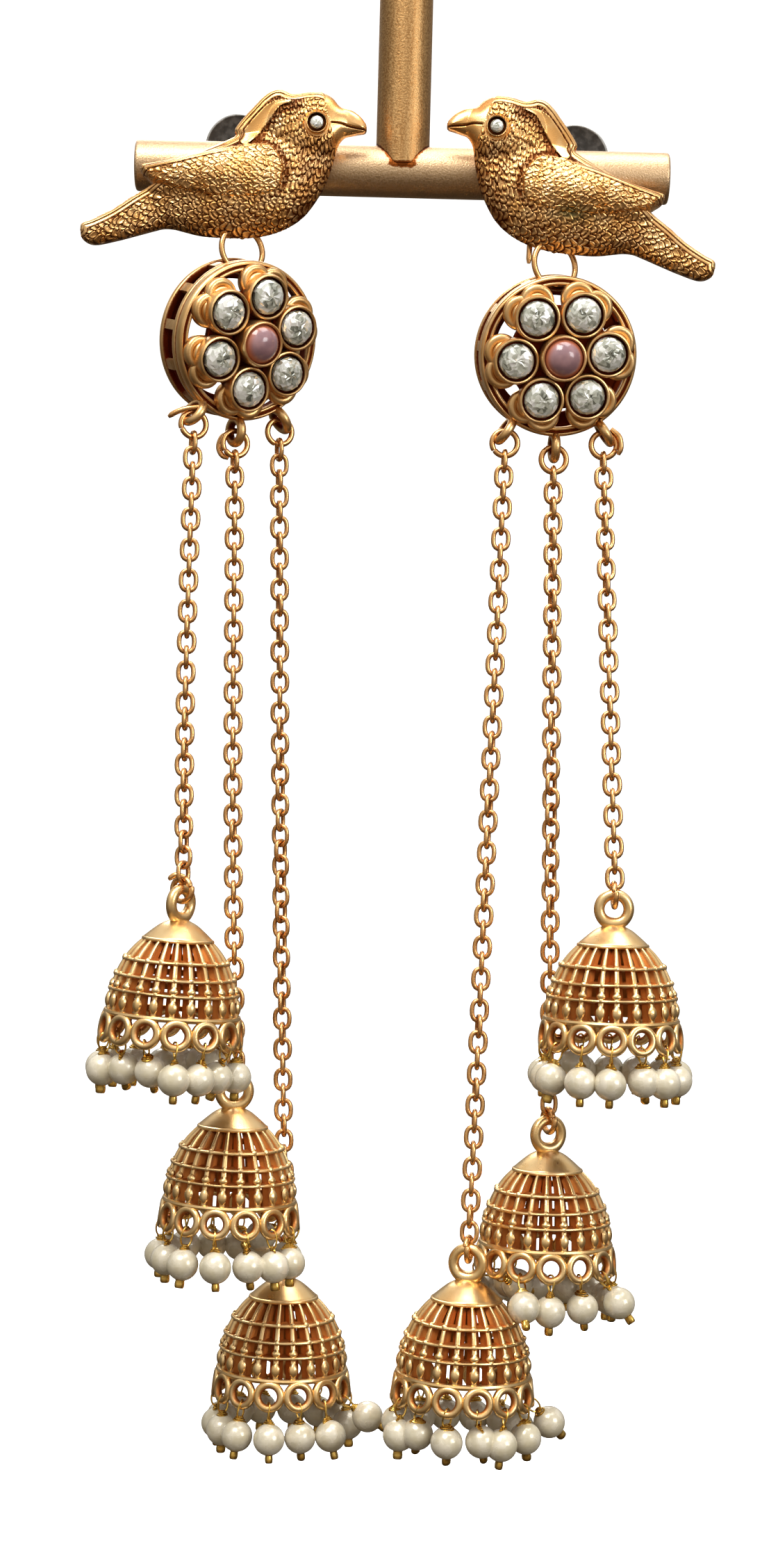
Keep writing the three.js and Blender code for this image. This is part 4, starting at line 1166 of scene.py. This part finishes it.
# tone: high in the grooves, and on the inner wall as painted shade
FRONT_RIM = [
    (9.45, 0.40, 0.8), (9.98, 0.42, 0.4), (10.20, 0.62, 0), (10.22, 1.12, 0), (10.02, 1.32, 0.9),
    (10.02, 1.46, 0.9), (10.24, 1.68, 0), (10.27, 2.36, 0), (10.12, 2.74, 0), (9.88, 2.84, 0.1),
    (9.70, 2.62, 0.9), (9.54, 2.62, 0.9), (9.38, 2.84, 0.1), (9.18, 2.84, 0), (9.02, 2.60, 0.3),
    (9.05, 1.90, 0.8), (9.20, 0.90, 1), (9.30, 0.50, 1)]
# tone: high on the flange's front face inside the drum, as painted shade
BACK_RIM = [
    (9.40, -2.80, 0.4), (10.00, -2.80, 0.1), (10.22, -2.66, 0), (10.26, -2.40, 0),
    (10.22, -2.12, 0.1), (10.00, -1.96, 0.7), (9.45, -1.94, 1), (9.25, -2.00, 1), (9.10, -2.14, 1),
    (8.40, -2.22, 1), (7.75, -2.24, 0.9), (7.60, -2.48, 0.6), (7.75, -2.74, 0.5), (8.60, -2.80, 0.4)]
# painted shade: the plate is toned deep all over
BACK_PLATE = [  # behind the settings
    (0, 2.5, 1), (6.5, 2.5, 1), (6.6, 2.6, 0.9), (6.6, 3.3, 0.8), (6.5, 3.4, 0.9), (0, 3.4, 1)]
BRIDGES, BRIDGE_HALF, BRIDGE_START = 12, 3.6, 26  # count and degrees
BRIDGE_CIRCLE, BRIDGE_MIDDLE = 9.77, -0.8  # radius and height of a bridge's middle
BRIDGE_DEPTH, BRIDGE_OVAL = 0.38, 3.9  # half its thickness, and how many times as high it is


def rim(knots):
    """A closed profile of (radius, height, tone), made smooth, carried round the drum."""
    round_off = curve(knots, 4 * len(knots), loop=True)
    return turned(round_off[:, :2], 120, np.clip(round_off[:, 2], 0, 1), rows_close=True)


def bridges():
    """Short blocks along the wall between the rims: an oval section on a small arc."""
    angle = np.radians(np.linspace(-BRIDGE_HALF, BRIDGE_HALF, 5))
    path = [BRIDGE_CIRCLE * np.cos(angle), BRIDGE_CIRCLE * np.sin(angle), 0 * angle + BRIDGE_MIDDLE]
    block = tube(np.stack(path, -1), (1, 0, 0), BRIDGE_DEPTH, 12, flat=BRIDGE_OVAL, tone=0.3)
    return copies(block, [turn("Z", BRIDGE_START + k * 360 / BRIDGES) for k in range(BRIDGES)])


print("rims and bridges:", len(joined([rim(FRONT_RIM), rim(BACK_RIM), bridges()]).faces), "faces")

# %% Settings
LOBE = [
    (0, 2.45, 0.9), (2.02, 2.45, 0.9), (2.18, 2.58, 0.6), (2.24, 2.90, 0.3), (2.26, 3.30, 0.1),
    (2.21, 3.60, 0), (2.08, 3.80, 0), (1.86, 3.90, 0), (1.58, 3.90, 0), (1.34, 3.80, 0.1),
    (1.18, 3.62, 0.55), (1.02, 3.46, 0.95), (0, 3.46, 0.95)]
COLLAR = [
    (0, 3.30, 1), (2.80, 3.30, 1), (2.92, 3.55, 0.7), (2.96, 4.10, 0.25), (2.97, 4.85, 0.05),
    (2.94, 5.20, 0), (2.86, 5.38, 0), (2.72, 5.42, 0), (2.59, 5.34, 0.15), (2.50, 5.12, 0.8),
    (2.46, 4.85, 1), (2.42, 4.50, 1), (0, 4.50, 1)]
LOBE_OUT, LOBE_ASIDE = 1.58, 1.28  # a lobe's centre from its stone's
INNER_LOBE = (0.75, 0.30, 0.75)  # the nearer pair: its size, its rise and its share of the way out


def petal():
    """One setting, its stone's centre over the origin and outwards along +X."""
    profile = np.array(LOBE)
    outer = turned(profile[:, :2], 40, profile[:, 2])
    size, rise, share = INNER_LOBE
    inner = turned(profile[:, :2] * (size, 1) + (0, rise), 40, profile[:, 2])
    lobes = []
    for hand in (-1, 1):
        lobes.append(moved(outer, shift(LOBE_OUT, hand * LOBE_ASIDE, 0)))
        lobes.append(moved(inner, shift(share * LOBE_OUT, hand * share * LOBE_ASIDE, 0)))
    return joined([*lobes, collar(0)])


def collar(rise):
    """The round wall of a setting, whose upper part stands higher by rise."""
    profile = np.array(COLLAR)
    profile[3:, 1] += rise
    return turned(profile[:, :2], 56, profile[:, 2])


print("one setting:", len(petal().faces), "faces")


# %% Lugs and the flower's place
def lugs(centres):
    """Three cast eyes under the drum, each a ring in the plane of its radius and the axis."""
    eye = tube(circle(LUG_RADIUS, 36), (0, 1, 0), LUG_WIRE, 14, loop=True)
    eye.tone = inner_tone(eye, LUG_RADIUS, LUG_WIRE)
    return copies(eye, [
        placed(shift(*centre), turn("Z", 90 + math.degrees(math.atan2(centre[0], -centre[1]))))
        for centre in centres])


def flower_place(name, side):
    """The drum's centre, turn and facing. The outer stones lie evenly round its axis."""
    facing = placed(turn("Z", side["yaw"]), turn("X", DRUM_TILT))
    stones = [corners(f"{name}_flower_stone_{k + 1}").mean(0) for k in range(PETALS)]
    centre = np.mean(stones, axis=0) - facing[:3, :3] @ (0, -SEAT, 0)
    return placed(shift(*centre), facing, FACING)


for name, side in SIDES.items():
    print(name, "flower at", flower_place(name, side)[:3, 3].round(2).tolist())

# %% [markdown]
# ## Stones
# The clear stones are foiled glass: shallow cut domes with many small facets, each of
# which mirrors something else. A dome of facets with slightly uneven corners does the
# same, and each face also carries a number of its own for the shader. The middle stone is
# a smooth pink cabochon; its edge, where it meets the collar, is painted redder as a
# painted reflection of the gold.

# %% Stones
CUT = [
    (0, -0.30), (2.28, 0.0), (2.18, 0.36), (1.90, 0.66), (1.50, 0.88), (1.02, 1.03), (0.5, 1.08),
    (0, 1.10)]
SHADE = np.array([0.75, 0.5, 0.05, 0.0, 0.25, 0.6])  # tone of each ring of corners, from the rim in
MOVED_ROUND, MOVED_OUT, MOVED_UP = 0.05, 0.07, 0.05  # spread of a corner's place: radians, mm and mm
DOME_RADIUS, DOME_HEIGHT, DOME_POWER = 2.46, 1.45, 2.6  # of the pink stone


def cut_stone(seed, facets=18):
    """Rings of facets, every second ring half a facet on, with corners moved at random."""
    rng = np.random.default_rng(seed)
    rows = np.array(CUT)[1:-1]
    steps = np.arange(facets)[None] + 0.5 * (np.arange(len(rows)) % 2)[:, None]
    angle = steps * 2 * np.pi / facets
    angle = angle + rng.normal(0, MOVED_ROUND, angle.shape)
    loose = np.linspace(0, 1, len(rows))[:, None]
    radius = rows[:, :1] + rng.normal(0, MOVED_OUT, angle.shape) * loose
    rise = rows[:, 1:] + rng.normal(0, MOVED_UP, angle.shape) * loose
    grid = np.stack([radius * np.cos(angle), radius * np.sin(angle), rise], -1)
    return sheet(grid, SHADE[:, None], False, [0, 0, CUT[0][1]], [0.1, -0.1, CUT[-1][1]])


def cabochon():
    """A smooth dome over a rounded edge: height H (1 - (r / R) ** power), tone 1 at the edge for a painted
    reflection of the gold collar.
    """
    share = np.linspace(1, 0, 20)
    foot = np.array([(0, -0.3, 1), (2.3, -0.3, 1), (2.45, -0.1, 1)])
    dome = [DOME_RADIUS * share, DOME_HEIGHT * (1 - share**DOME_POWER), (share - 0.72) / 0.2]
    rows = np.concatenate([foot, np.stack(dome, -1)])
    return turned(rows[:, :2], 64, np.clip(rows[:, 2], 0, 1))


def add_facets(stone, seed):
    """Give each face of a stone a number between 0 and 1 for the shader."""
    faces = len(stone.data.polygons)
    numbers = np.random.default_rng(seed).uniform(0, 1, faces)
    stone.data.attributes.new("facet", "FLOAT", "FACE").data.foreach_set("value", numbers)


print("one stone:", len(cut_stone(0).faces), "facets")

# %% Two flowers
STONE_SEAT = 5.02  # a stone's foot in its collar, over the drum's middle
for name, side in SIDES.items():
    place = flower_place(name, side)
    hooks = [middle(f"{name}_jump_ring_{n}") + (0, 0, RING_RADIUS - RING_LIFT) for n in (1, 2, 3)]
    centres = [(np.linalg.inv(place) @ np.append(hook, 1))[:3] for hook in hooks]
    angles = [side["first_petal"] + k * 360 / PETALS for k in range(PETALS)]
    petals = [placed(turn("Z", angle), shift(PETAL_CIRCLE, 0, 0)) for angle in angles]
    plate = np.array(BACK_PLATE)
    back = turned(plate[:, :2], 60, plate[:, 2])
    body = joined([
        rim(FRONT_RIM), rim(BACK_RIM), bridges(), back, copies(petal(), petals),
        collar(CENTRE_RISE), lugs(centres)])
    piece(f"{name}_flower_casting", moved(body, place), flower_gold,
          [f"{name}_flower"])
    for k, at in enumerate(petals):
        stone = moved(cut_stone(31 * k + len(name)), placed(place, at, shift(0, 0, STONE_SEAT)))
        made = piece(f"{name}_cut_stone_{k + 1}", stone, clear_stone,
                     [f"{name}_flower_stone_{k + 1}"], flat=True)
        add_facets(made, k)
    pink = moved(cabochon(), placed(place, shift(0, 0, STONE_SEAT + CENTRE_RISE)))
    piece(f"{name}_pink_cabochon", pink, pink_stone, [f"{name}_flower_center_stone"])

# %% [markdown]
# ## Clutches
# Behind the bar each ear pin is held by a clutch: a thin pressed disc of dull grey metal
# with a light worn edge, and a barrel that grips the pin. Both are turned profiles. The
# disc sits a little off the pin, so they are turned apart.

# %% Clutches
DISC = [  # radius, height and tone
    (0, -0.80, 0), (4.20, -0.80, 0), (4.42, -0.68, 0.4), (4.50, -0.42, 1), (4.44, -0.14, 1),
    (4.28, 0, 0.8), (4.05, -0.03, 0.2), (3.85, -0.12, 0), (1.0, -0.18, 0), (0, -0.18, 0)]
BARREL = [
    (1.48, -3.40), (1.60, -3.25), (1.62, -1.2), (1.75, -0.6), (0.45, -0.6), (0.45, -3.25), (0.6, -3.40)]

for name, side in SIDES.items():
    low, high = corner_box(f"{name}_clutch")
    centre = (low + high) / 2
    aside, raised = side["disc"]
    profile = np.array(DISC)
    disc = turned(profile[:, :2], 64, profile[:, 2])
    barrel = moved(turned(BARREL, 32, 0.3, rows_close=True), shift(-aside, -raised, 0))
    clutch = moved(joined([disc, barrel]), placed(shift(centre[0], low[1], centre[2]), FACING))
    piece(f"{name}_clutch_disc", clutch, clutch_grey, [f"{name}_clutch"])

# %% [markdown]
# ## Birds
# Each bird is a flat casting with a full breast and a raised wing, covered in small
# overlapping feathers, with smooth bands along its back, a smooth strap behind its head
# and a plain beak. Its surface is a sheet stretched between its lower and its upper
# outline: row by row, straight lines join a point on one to a point on the other. The
# height of each point in front of the hanging plane is then a sum of simple parts: a
# rounded edge, three swellings, bands, grooves and feathers. The wing lies on top as a
# sheet of its own, because its tip stands clear of the tail.

# %% Outlines
# Each row: a point of the lower outline and its partner on the upper one, x towards the
# beak and z up, in millimetres from the ear pin, from the tail to the beak.
BODY = [
    (-19.55, -13.75, -19.60, -13.60), (-19.30, -14.70, -19.35, -12.75),
    (-17.80, -15.35, -17.90, -12.15), (-15.00, -14.80, -15.50, -10.90),
    (-12.10, -14.00, -13.00, -9.20), (-10.00, -13.40, -11.10, -8.00),
    (-8.90, -13.15, -9.60, -6.90), (-7.60, -13.20, -8.20, -5.90), (-6.00, -13.60, -6.90, -4.70),
    (-4.60, -13.95, -5.40, -3.80), (-3.10, -14.15, -4.10, -3.10), (-0.50, -14.25, -2.20, -2.20),
    (1.60, -14.20, -0.50, -1.40), (2.80, -14.10, 0.20, -0.90), (3.80, -13.95, 0.10, -0.10),
    (5.90, -13.35, 1.20, 1.40), (7.80, -12.40, 2.60, 3.00), (9.40, -11.10, 3.60, 4.10),
    (10.80, -9.20, 4.70, 4.90), (11.90, -7.20, 5.90, 5.10), (12.70, -4.80, 7.40, 4.65),
    (13.30, -2.40, 9.20, 4.90), (13.80, -1.30, 11.00, 4.95), (14.40, -0.65, 12.50, 4.30),
    (15.20, -0.40, 13.60, 3.15), (16.00, -0.20, 15.10, 2.70), (16.70, -0.05, 16.20, 1.95),
    (17.00, 0.20, 16.90, 1.10), (17.08, 0.55, 17.05, 0.75)]
WING = [
    (-12.00, -5.70, -12.00, -5.50), (-11.80, -6.20, -11.90, -5.10), (-11.20, -6.80, -11.30, -4.85),
    (-9.40, -8.00, -9.60, -4.60), (-4.90, -9.40, -6.80, -4.10), (0.50, -9.90, -1.50, -2.70),
    (3.40, -9.60, 1.60, -2.00), (5.30, -9.10, 4.10, -1.95), (6.50, -8.10, 5.65, -2.70),
    (6.90, -6.70, 6.75, -4.50), (7.02, -5.70, 7.00, -5.40)]
SWELLINGS = [  # centre x and z, half length, half height, rise in front of the casting, tilt
    (1.4, -7.4, 12.0, 6.4, 1.9, 14), (-2.4, -6.3, 9.4, 4.2, 2.5, 3), (9.4, 0.4, 5.2, 4.9, 1.35, 0)]
CASTING_FRONT, CASTING_BACK, EDGE_FRONT = 1.7, 0.9, 0.75  # in front of and behind the plane
EYE = (10.7, 0.4)  # x and z of its middle
CREST = [  # the smooth strap behind the head: its middle line and half width
    (1.50, -1.80, 0.72), (1.95, -1.05, 0.95), (2.75, 0.0, 0.98), (3.75, 1.3, 0.95), (4.70, 2.4, 0.80),
    (5.80, 3.15, 0.48), (7.2, 3.35, 0.18)]
MOUTH = [  # the line between the beak's halves, and its half width
    (12.6, 0.75, 0.1), (13.8, 0.75, 0.13), (15.2, 0.42, 0.13), (16.9, 0.2, 0.1)]
print("outline rows:", len(BODY), "for a body and", len(WING), "for a wing")


# %% From outlines to points and distances
def lofted(pairs, rows, columns):
    """Points (rows, columns, 2) on straight lines from the lower outline to the upper one.

    The rows are spread so that the outlines' joint length grows evenly. Also gives how far
    along and how far across each point lies, and the two outlines."""
    fine = curve(pairs, 3000)
    step = np.abs(np.diff(fine, axis=0))
    grown = np.hypot(step[:, 0], step[:, 1]) + np.hypot(step[:, 2], step[:, 3])
    along = np.concatenate([[0], np.cumsum(grown)]) / 2
    at = np.linspace(0, along[-1], rows)
    ends = np.stack([np.interp(at, along, fine[:, n]) for n in range(4)], -1)
    share = np.linspace(0, 1, columns)
    share = (share + 0.5 - np.cos(np.pi * share) / 2)[:, None] / 2
    points = ends[:, None, :2] + (ends[:, None, 2:] - ends[:, None, :2]) * share
    width = np.linalg.norm(ends[:, 2:] - ends[:, :2], axis=1)
    along = np.broadcast_to(at[:, None], points.shape[:2])
    return points, along, width[:, None] * share[:, 0], fine[::4]


def distance(points, line):
    """How far each point is from the nearest of a line's points, and which one that is."""
    flat = points.reshape(-1, 2)
    best, which = [], []
    for block in np.array_split(flat, 24):
        gap = np.hypot(block[:, None, 0] - line[None, :, 0], block[:, None, 1] - line[None, :, 1])
        nearest = gap.argmin(1)
        which.append(nearest)
        best.append(np.take_along_axis(gap, nearest[:, None], 1)[:, 0])
    shape = points.shape[:2]
    return np.concatenate(best).reshape(shape), np.concatenate(which).reshape(shape)


def from_edges(points, outline):
    """How far each point is from the lower and from the upper outline."""
    return [distance(points, edge)[0] for edge in (outline[:, :2], outline[:, 2:])]


wing_edges = curve(WING, 240)
wing_outline = np.concatenate([wing_edges[:, :2], wing_edges[::-1, 2:]])
print("a body of", lofted(BODY, 20, 10)[0].shape[:2], "points, and a wing's outline of", len(wing_outline))


# %% Simple parts of the relief
def step_up(low, high, value):
    """A smooth step: 0 below low, 1 above high, 3 s2 - 2 s3 between."""
    share = np.clip((value - low) / (high - low), 0, 1)
    return share * share * (3 - 2 * share)


def ridge(value, at, width):
    """A bell curve: exp(-((value - at) / width)2), so 1 where value is at."""
    return np.exp(-(((value - at) / width) ** 2))


def rounded(low, top, reach):
    """A quarter circle up from the nearest edge: sqrt(1 - (1 - distance / reach)2)."""
    return np.sqrt(1 - (1 - np.clip(np.minimum(low, top) / reach, 0, 1)) ** 2)


def swelling(x, z):
    """The three swellings as one: rise (1 - r2) on each ellipse, and (sum of 4th powers) ** 0.25."""
    total = np.zeros_like(x)
    for cx, cz, long, high, rise, tilt in SWELLINGS:
        c, s = math.cos(math.radians(tilt)), math.sin(math.radians(tilt))
        along, across = (x - cx) * c + (z - cz) * s, (z - cz) * c - (x - cx) * s
        total += (rise * np.maximum(1 - (along / long) ** 2 - (across / high) ** 2, 0)) ** 4
    return total ** 0.25


print("the breast swells by", round(float(swelling(np.array([3.0]), np.array([-7.0]))[0]), 2), "mm")


# %% Feathers
BODY_FEATHER, WING_FEATHER = (0.66, 0.94), (0.78, 0.82)  # step from row to row, and width
FEATHER_RISE = 0.21


def feathers(u, v, long, wide):
    """Overlapping feathers in rows across u, each row half a feather on from the last.

    A feather covers an ellipse round its middle, and the row nearer the head lies on top.
    Gives the relief (0 to 1): a raised rim round a shallow hollow. And the tone: dark in
    the hollow and in the gap between two feathers."""
    row = np.floor(u / long)
    r = np.full(u.shape, 1.3)
    for ahead in (2, 1, 0, -1):
        j = row + ahead
        middle_u = (j + 0.5) * long
        shifted = v / wide + 0.5 * (j % 2) + 0.17 * np.sin(j * 1.7)
        dv = (shifted - np.round(shifted)) * wide
        near = np.sqrt(((u - middle_u) / (1.45 * long)) ** 2 + (dv / (0.56 * wide)) ** 2)
        r = np.where((r > 1) & (near < 1), near, r)
    relief = np.where(r < 1, 0.45 + 0.55 * ridge(r, 0.70, 0.2), 0) * step_up(1.0, 0.86, r)
    gap = step_up(0.80, 0.98, r)
    return relief, np.maximum(gap, 0.62 * ridge(r, 0, 0.42))


def ruffled(u, v):
    """Feather coordinates pushed about by slow waves, because the pattern was cut by hand."""
    return (u + 0.16 * np.sin(1.9 * v + 0.7 * u) + 0.10 * np.sin(3.1 * u + 1.3 * v),
            v + 0.16 * np.sin(1.7 * u - 0.6 * v) + 0.08 * np.sin(3.7 * v + 2.3 * u))


u, v = np.meshgrid(np.linspace(0, 10, 200), np.linspace(0, 10, 200))
covered = (feathers(u, v, *BODY_FEATHER)[0] > 0).mean()
print("feathers cover", round(float(covered), 2), "of a surface")

# %% [markdown]
# The relief of the body has feathers wherever nothing smooth lies on them: the beak, the
# band along the back with its two grooves, the strap behind the head and the eye's seat.
# Each of these is a mask between 0 and 1, and so is each dark place: the grooves of the
# band, the gap round the strap, and the painted shade beside the wing, under the crest and
# on the belly and the breast. Distances and depths are in millimetres.

# %% The body's relief
BODY_ROUND, WING_ROUND = 1.5, 0.8  # how far in from its outline a casting's edge is rounded
BAND_EDGE, BAND_FOOT = (1.05, 0.95), 1.06  # the band ends here, and its outer groove lies here
BODY_STEP, WING_STEP = 0.52, 0.50  # the groove along the middle of the band


def strap_and_mouth(points):
    """Distance from the crest's middle line, that over its half width, and the mouth's line."""
    crest_line, mouth_line = curve(CREST, 200), curve(MOUTH, 160)
    reach, nearest = distance(points, crest_line[:, :2])
    lips, which = distance(points, mouth_line[:, :2])
    return reach, reach / crest_line[nearest, 2], ridge(lips, 0, mouth_line[which, 2])


def body_front(points, along, across, outline):
    """Height in front of the hanging plane, and tone, for points of the body."""
    x, z = points[..., 0], points[..., 1]
    low, top = from_edges(points, outline)
    edge = rounded(low, top, BODY_ROUND)
    height = EDGE_FRONT + (CASTING_FRONT - EDGE_FRONT + swelling(x, z)) * edge
    beak = step_up(12.3, 12.7, x + 0.25 * z)
    band = step_up(*BAND_EDGE, top) * (1 - beak)
    step_line = ridge(top, BODY_STEP, 0.09) * band
    foot_line = ridge(top, BAND_FOOT, 0.11) * (1 - beak)
    reach, hollow, mouth = strap_and_mouth(points)
    strap = step_up(1.02, 0.86, hollow)
    eye = np.hypot(x - EYE[0], z - EYE[1])
    feathered = 1 - np.maximum.reduce([beak, band, strap, step_up(1.85, 1.55, eye)])
    relief, dark = feathers(*ruffled(along, across), *BODY_FEATHER)
    height += FEATHER_RISE * relief * feathered + 0.15 * band * step_up(0.62, 0.52, top) + 0.08 * band
    height += strap * (0.42 - 0.12 * (1 - np.clip(hollow, 0, 1) ** 2))
    height -= 0.10 * step_line + 0.14 * foot_line + 0.24 * mouth * beak
    # painted shade, added to the tone: darker towards the belly, on the lower breast, beside the crest
    # strap and in the wing's shadow on the body
    belly = step_up(-7.5, -12.5, z) * 0.22
    breast = step_up(6.5, 9.5, x) * step_up(-0.5, -2.5, z) * 0.28
    under_crest = step_up(2.4, 1.0, reach) * feathered * 0.5
    shadow = ridge(distance(points, wing_outline)[0], 0, 0.5) * step_up(-5, 1, x)
    shadow *= 0.5 * step_up(-10.5, -7.5, z)
    tail_top = step_up(-9, -13, x) * 0.12
    tone = feathered * (dark * 0.85 + belly + breast + under_crest + shadow + 0.05 - tail_top)
    lines = [step_line * 0.8, foot_line * 0.9, mouth * beak, strap * 0.03, ridge(hollow, 1.1, 0.1) * 0.8]
    return height, np.maximum.reduce([tone, *lines])


from_eye = strap_and_mouth(np.array([[EYE]]))[0]
print("from the eye to the crest's middle line:", round(float(from_eye[0, 0]), 2), "mm")


# %% The wing's relief, and a closed casting
def wing_front(points, _along, _across, outline):
    """The same for the wing: larger, brighter feathers, two bands along its upper edge, and painted shade
    towards its bottom.
    """
    x, z = points[..., 0], points[..., 1]
    low, top = from_edges(points, outline)
    raised = 0.34 * step_up(-10.0, -6.5, z)
    edge = rounded(low, top, WING_ROUND)
    height = EDGE_FRONT + (CASTING_FRONT - EDGE_FRONT + swelling(x, z) + 0.12 + raised) * edge
    behind = step_up(0.5, -1.5, x)
    band = step_up(*BAND_EDGE, top) * behind
    step_line = ridge(top, WING_STEP, 0.09) * band
    foot_line = ridge(top, BAND_FOOT, 0.11) * behind
    relief, dark = feathers(*ruffled(x + 0.12 * z, z + 0.5 * np.sin(x / 3)), *WING_FEATHER)
    height += (1 - band) * FEATHER_RISE * relief + 0.1 * band - 0.1 * step_line - 0.14 * foot_line
    rim_tone = step_up(0.55, 0.15, np.minimum(low, top)) * (1 - behind) * 0.7
    # painted shade: the wing is darker towards its bottom
    tone = (1 - band) * (dark * 0.66 + step_up(-8.0, -9.6, z) * 0.2)
    return height, np.maximum.reduce([tone, step_line * 0.8, foot_line * 0.9, rim_tone])


REAR_POINTS = 7  # points across the flat rear of a casting


def slab(pairs, rows, columns, front, back_y, hand):
    """A closed casting: the front relief, then back along a flat rear with a small bevel.

    Rows run so that the relief faces the front on either hand."""
    points, along, across, outline = lofted(pairs, rows, columns)
    height, tone = front(points, along, across, outline)
    inset = np.clip(np.linspace(1, 0, REAR_POINTS) * 0.94 + 0.03, 0, 1)[None, :, None]
    first, last = points[:, :1], points[:, -1:]
    rear_points = first + (last - first) * inset
    flat = np.concatenate([points, rear_points], axis=1)
    y = np.concatenate([-height, np.full(rear_points.shape[:2], back_y)], axis=1)
    y[:, -REAR_POINTS:] -= 0.25 * (np.abs(inset[..., 0] - 0.5) > 0.45)
    tone = np.concatenate([tone, np.full(rear_points.shape[:2], 0.5)], axis=1)
    grid = np.stack([hand * flat[..., 0], y, flat[..., 1]], -1)[::-hand]
    return sheet(grid, tone[::-hand], False, grid[0].mean(0), grid[-1].mean(0))


print("a small slab:", len(slab(WING, 20, 10, wing_front, CASTING_BACK, 1).faces), "faces")

# %% The eye's collar, the lug and the ear pin
PIN_RADIUS, PIN_END = 0.35, 9.0
LUG = (1.1, 0.42)  # the radius and the wire of the eye that the hanger ring goes through
LUG_PLACE = (1.3, -12.6)  # x and z of its middle
EYE_COLLAR = [  # radius, height and tone
    (0, 1.8, 1), (1.25, 1.8, 1), (1.40, 2.3, 0.8), (1.44, 3.2, 0.3), (1.42, 3.70, 0.1), (1.33, 3.85, 0.05),
    (1.21, 3.77, 0.4), (1.14, 3.45, 1), (1.10, 3.1, 1), (0, 3.1, 1)]


def collar_and_lug(hand):
    """The eye's collar, and the lug for the hanger ring: a ring across the casting."""
    profile = np.array(EYE_COLLAR)
    eye = turned(profile[:, :2], 40, profile[:, 2])
    lug = tube(circle(LUG[0], 28), (0, 1, 0), LUG[1], 12, loop=True)
    lug.tone = inner_tone(lug, LUG[0], 0.4)
    return joined([
        moved(eye, placed(shift(hand * EYE[0], 0, EYE[1]), FACING)),
        moved(lug, placed(shift(hand * LUG_PLACE[0], 0, LUG_PLACE[1]), turn("Z", 90)))])


def ear_pin(x, z):
    """The pin that goes back from the bird through the clutch, with a rounded tip."""
    y = np.array([HANG_Y + 0.2, 0, PIN_END - 0.4, PIN_END - 0.15, PIN_END])
    radius = PIN_RADIUS * np.array([1, 1, 1, 0.8, 0.4])
    return tube(np.stack([0 * y + x, y, 0 * y + z], -1), (1, 0, 0), radius, 14)


print("collar and lug:", len(collar_and_lug(1).faces), "faces")

# %% Two birds
WORN = (-0.3, -9.4, 5.0, 1.3)  # the worn patch: x and z of its middle, and how wide it spreads
EYE_SIZE = (0.375, 0.375, 0.5)  # a flower's stone is made this much smaller for an eye
EYE_SINK = 0.15  # its foot lies this far behind the middle of the eye's node


def wear(points, hand):
    """exp(-(dx2 / 5.0 + dz2 / 1.3)) round the worn patch, on the front of one bird alone."""
    x, y, z = points.T
    away = (hand * x - WORN[0]) ** 2 / WORN[2] + (z - WORN[1]) ** 2 / WORN[3]
    return np.exp(-away) * (hand < 0) * (y < 0)


for name, side in SIDES.items():
    hand = side["hand"]
    pin = middle(f"{name}_clutch") - (side["disc"][0], 0, side["disc"][1])
    seat = middle(f"{name}_bird_eye")
    facing = turn("Y", side["roll"])
    place = placed(shift(seat[0], HANG_Y, seat[2]), facing, shift(-hand * EYE[0], 0, -EYE[1]))
    body = slab(BODY, 430, 150, body_front, CASTING_BACK, hand)
    wing = slab(WING, 230, 100, wing_front, CASTING_BACK - 0.3, hand)
    for part, patch in (("body", body), ("wing", wing)):
        made = piece(f"{name}_bird_{part}", moved(patch, place), bird_gold,
                     [f"{name}_bird"], 60)
        green = made.data.attributes.new("verdigris", "FLOAT", "POINT")
        green.data.foreach_set("value", wear(patch.points, hand))
    fittings = joined([moved(collar_and_lug(hand), place), ear_pin(pin[0], pin[2])])
    piece(f"{name}_bird_fittings", fittings, bird_gold, [f"{name}_bird"])
    eye_place = placed(shift(*seat), facing, FACING, shift(0, 0, -EYE_SINK), np.diag([*EYE_SIZE, 1]))
    stone = moved(cut_stone(70 + len(name), 12), eye_place)
    made = piece(f"{name}_eye_stone", stone, clear_stone, [f"{name}_bird_eye"], flat=True)
    add_facets(made, 40 + len(name))

# %% [markdown]
# ## The floor
# The floor is far below the earrings and curves up all round. Only the camera sees it.

# %% Floor
FLOOR = [  # radius and height in millimetres
    (3500, 2600), (3500, 700), (3400, 200), (3100, -120), (2600, -280), (2000, -320), (0, -320)]
bowl = turned(FLOOR, 96)
floor_finish = Finish("pale_floor", Roughness=0.9)
floor_finish.feed("Base Color", floor_finish.mixed(
    floor_finish.noise(400), paint(236, 236, 236), paint(240, 240, 240)))
floor_finish.feed("Emission Color", (1, 1, 1, 1))
floor_finish.feed("Emission Strength", 0.75)
floor_mesh = bpy.data.meshes.new("floor")
floor_mesh.from_pydata(bowl.points * MM, [], [[int(c) for c in f if c >= 0] for f in bowl.faces])
floor_mesh.polygons.foreach_set("use_smooth", np.full(len(bowl.faces), True))
floor_mesh.materials.append(floor_finish.material)
floor = bpy.data.objects.new("floor", floor_mesh)
scene.collection.objects.link(floor)
floor.visible_glossy = floor.visible_diffuse = False
floor.visible_shadow = floor.visible_transmission = False
print("floor:", len(bowl.faces), "faces")
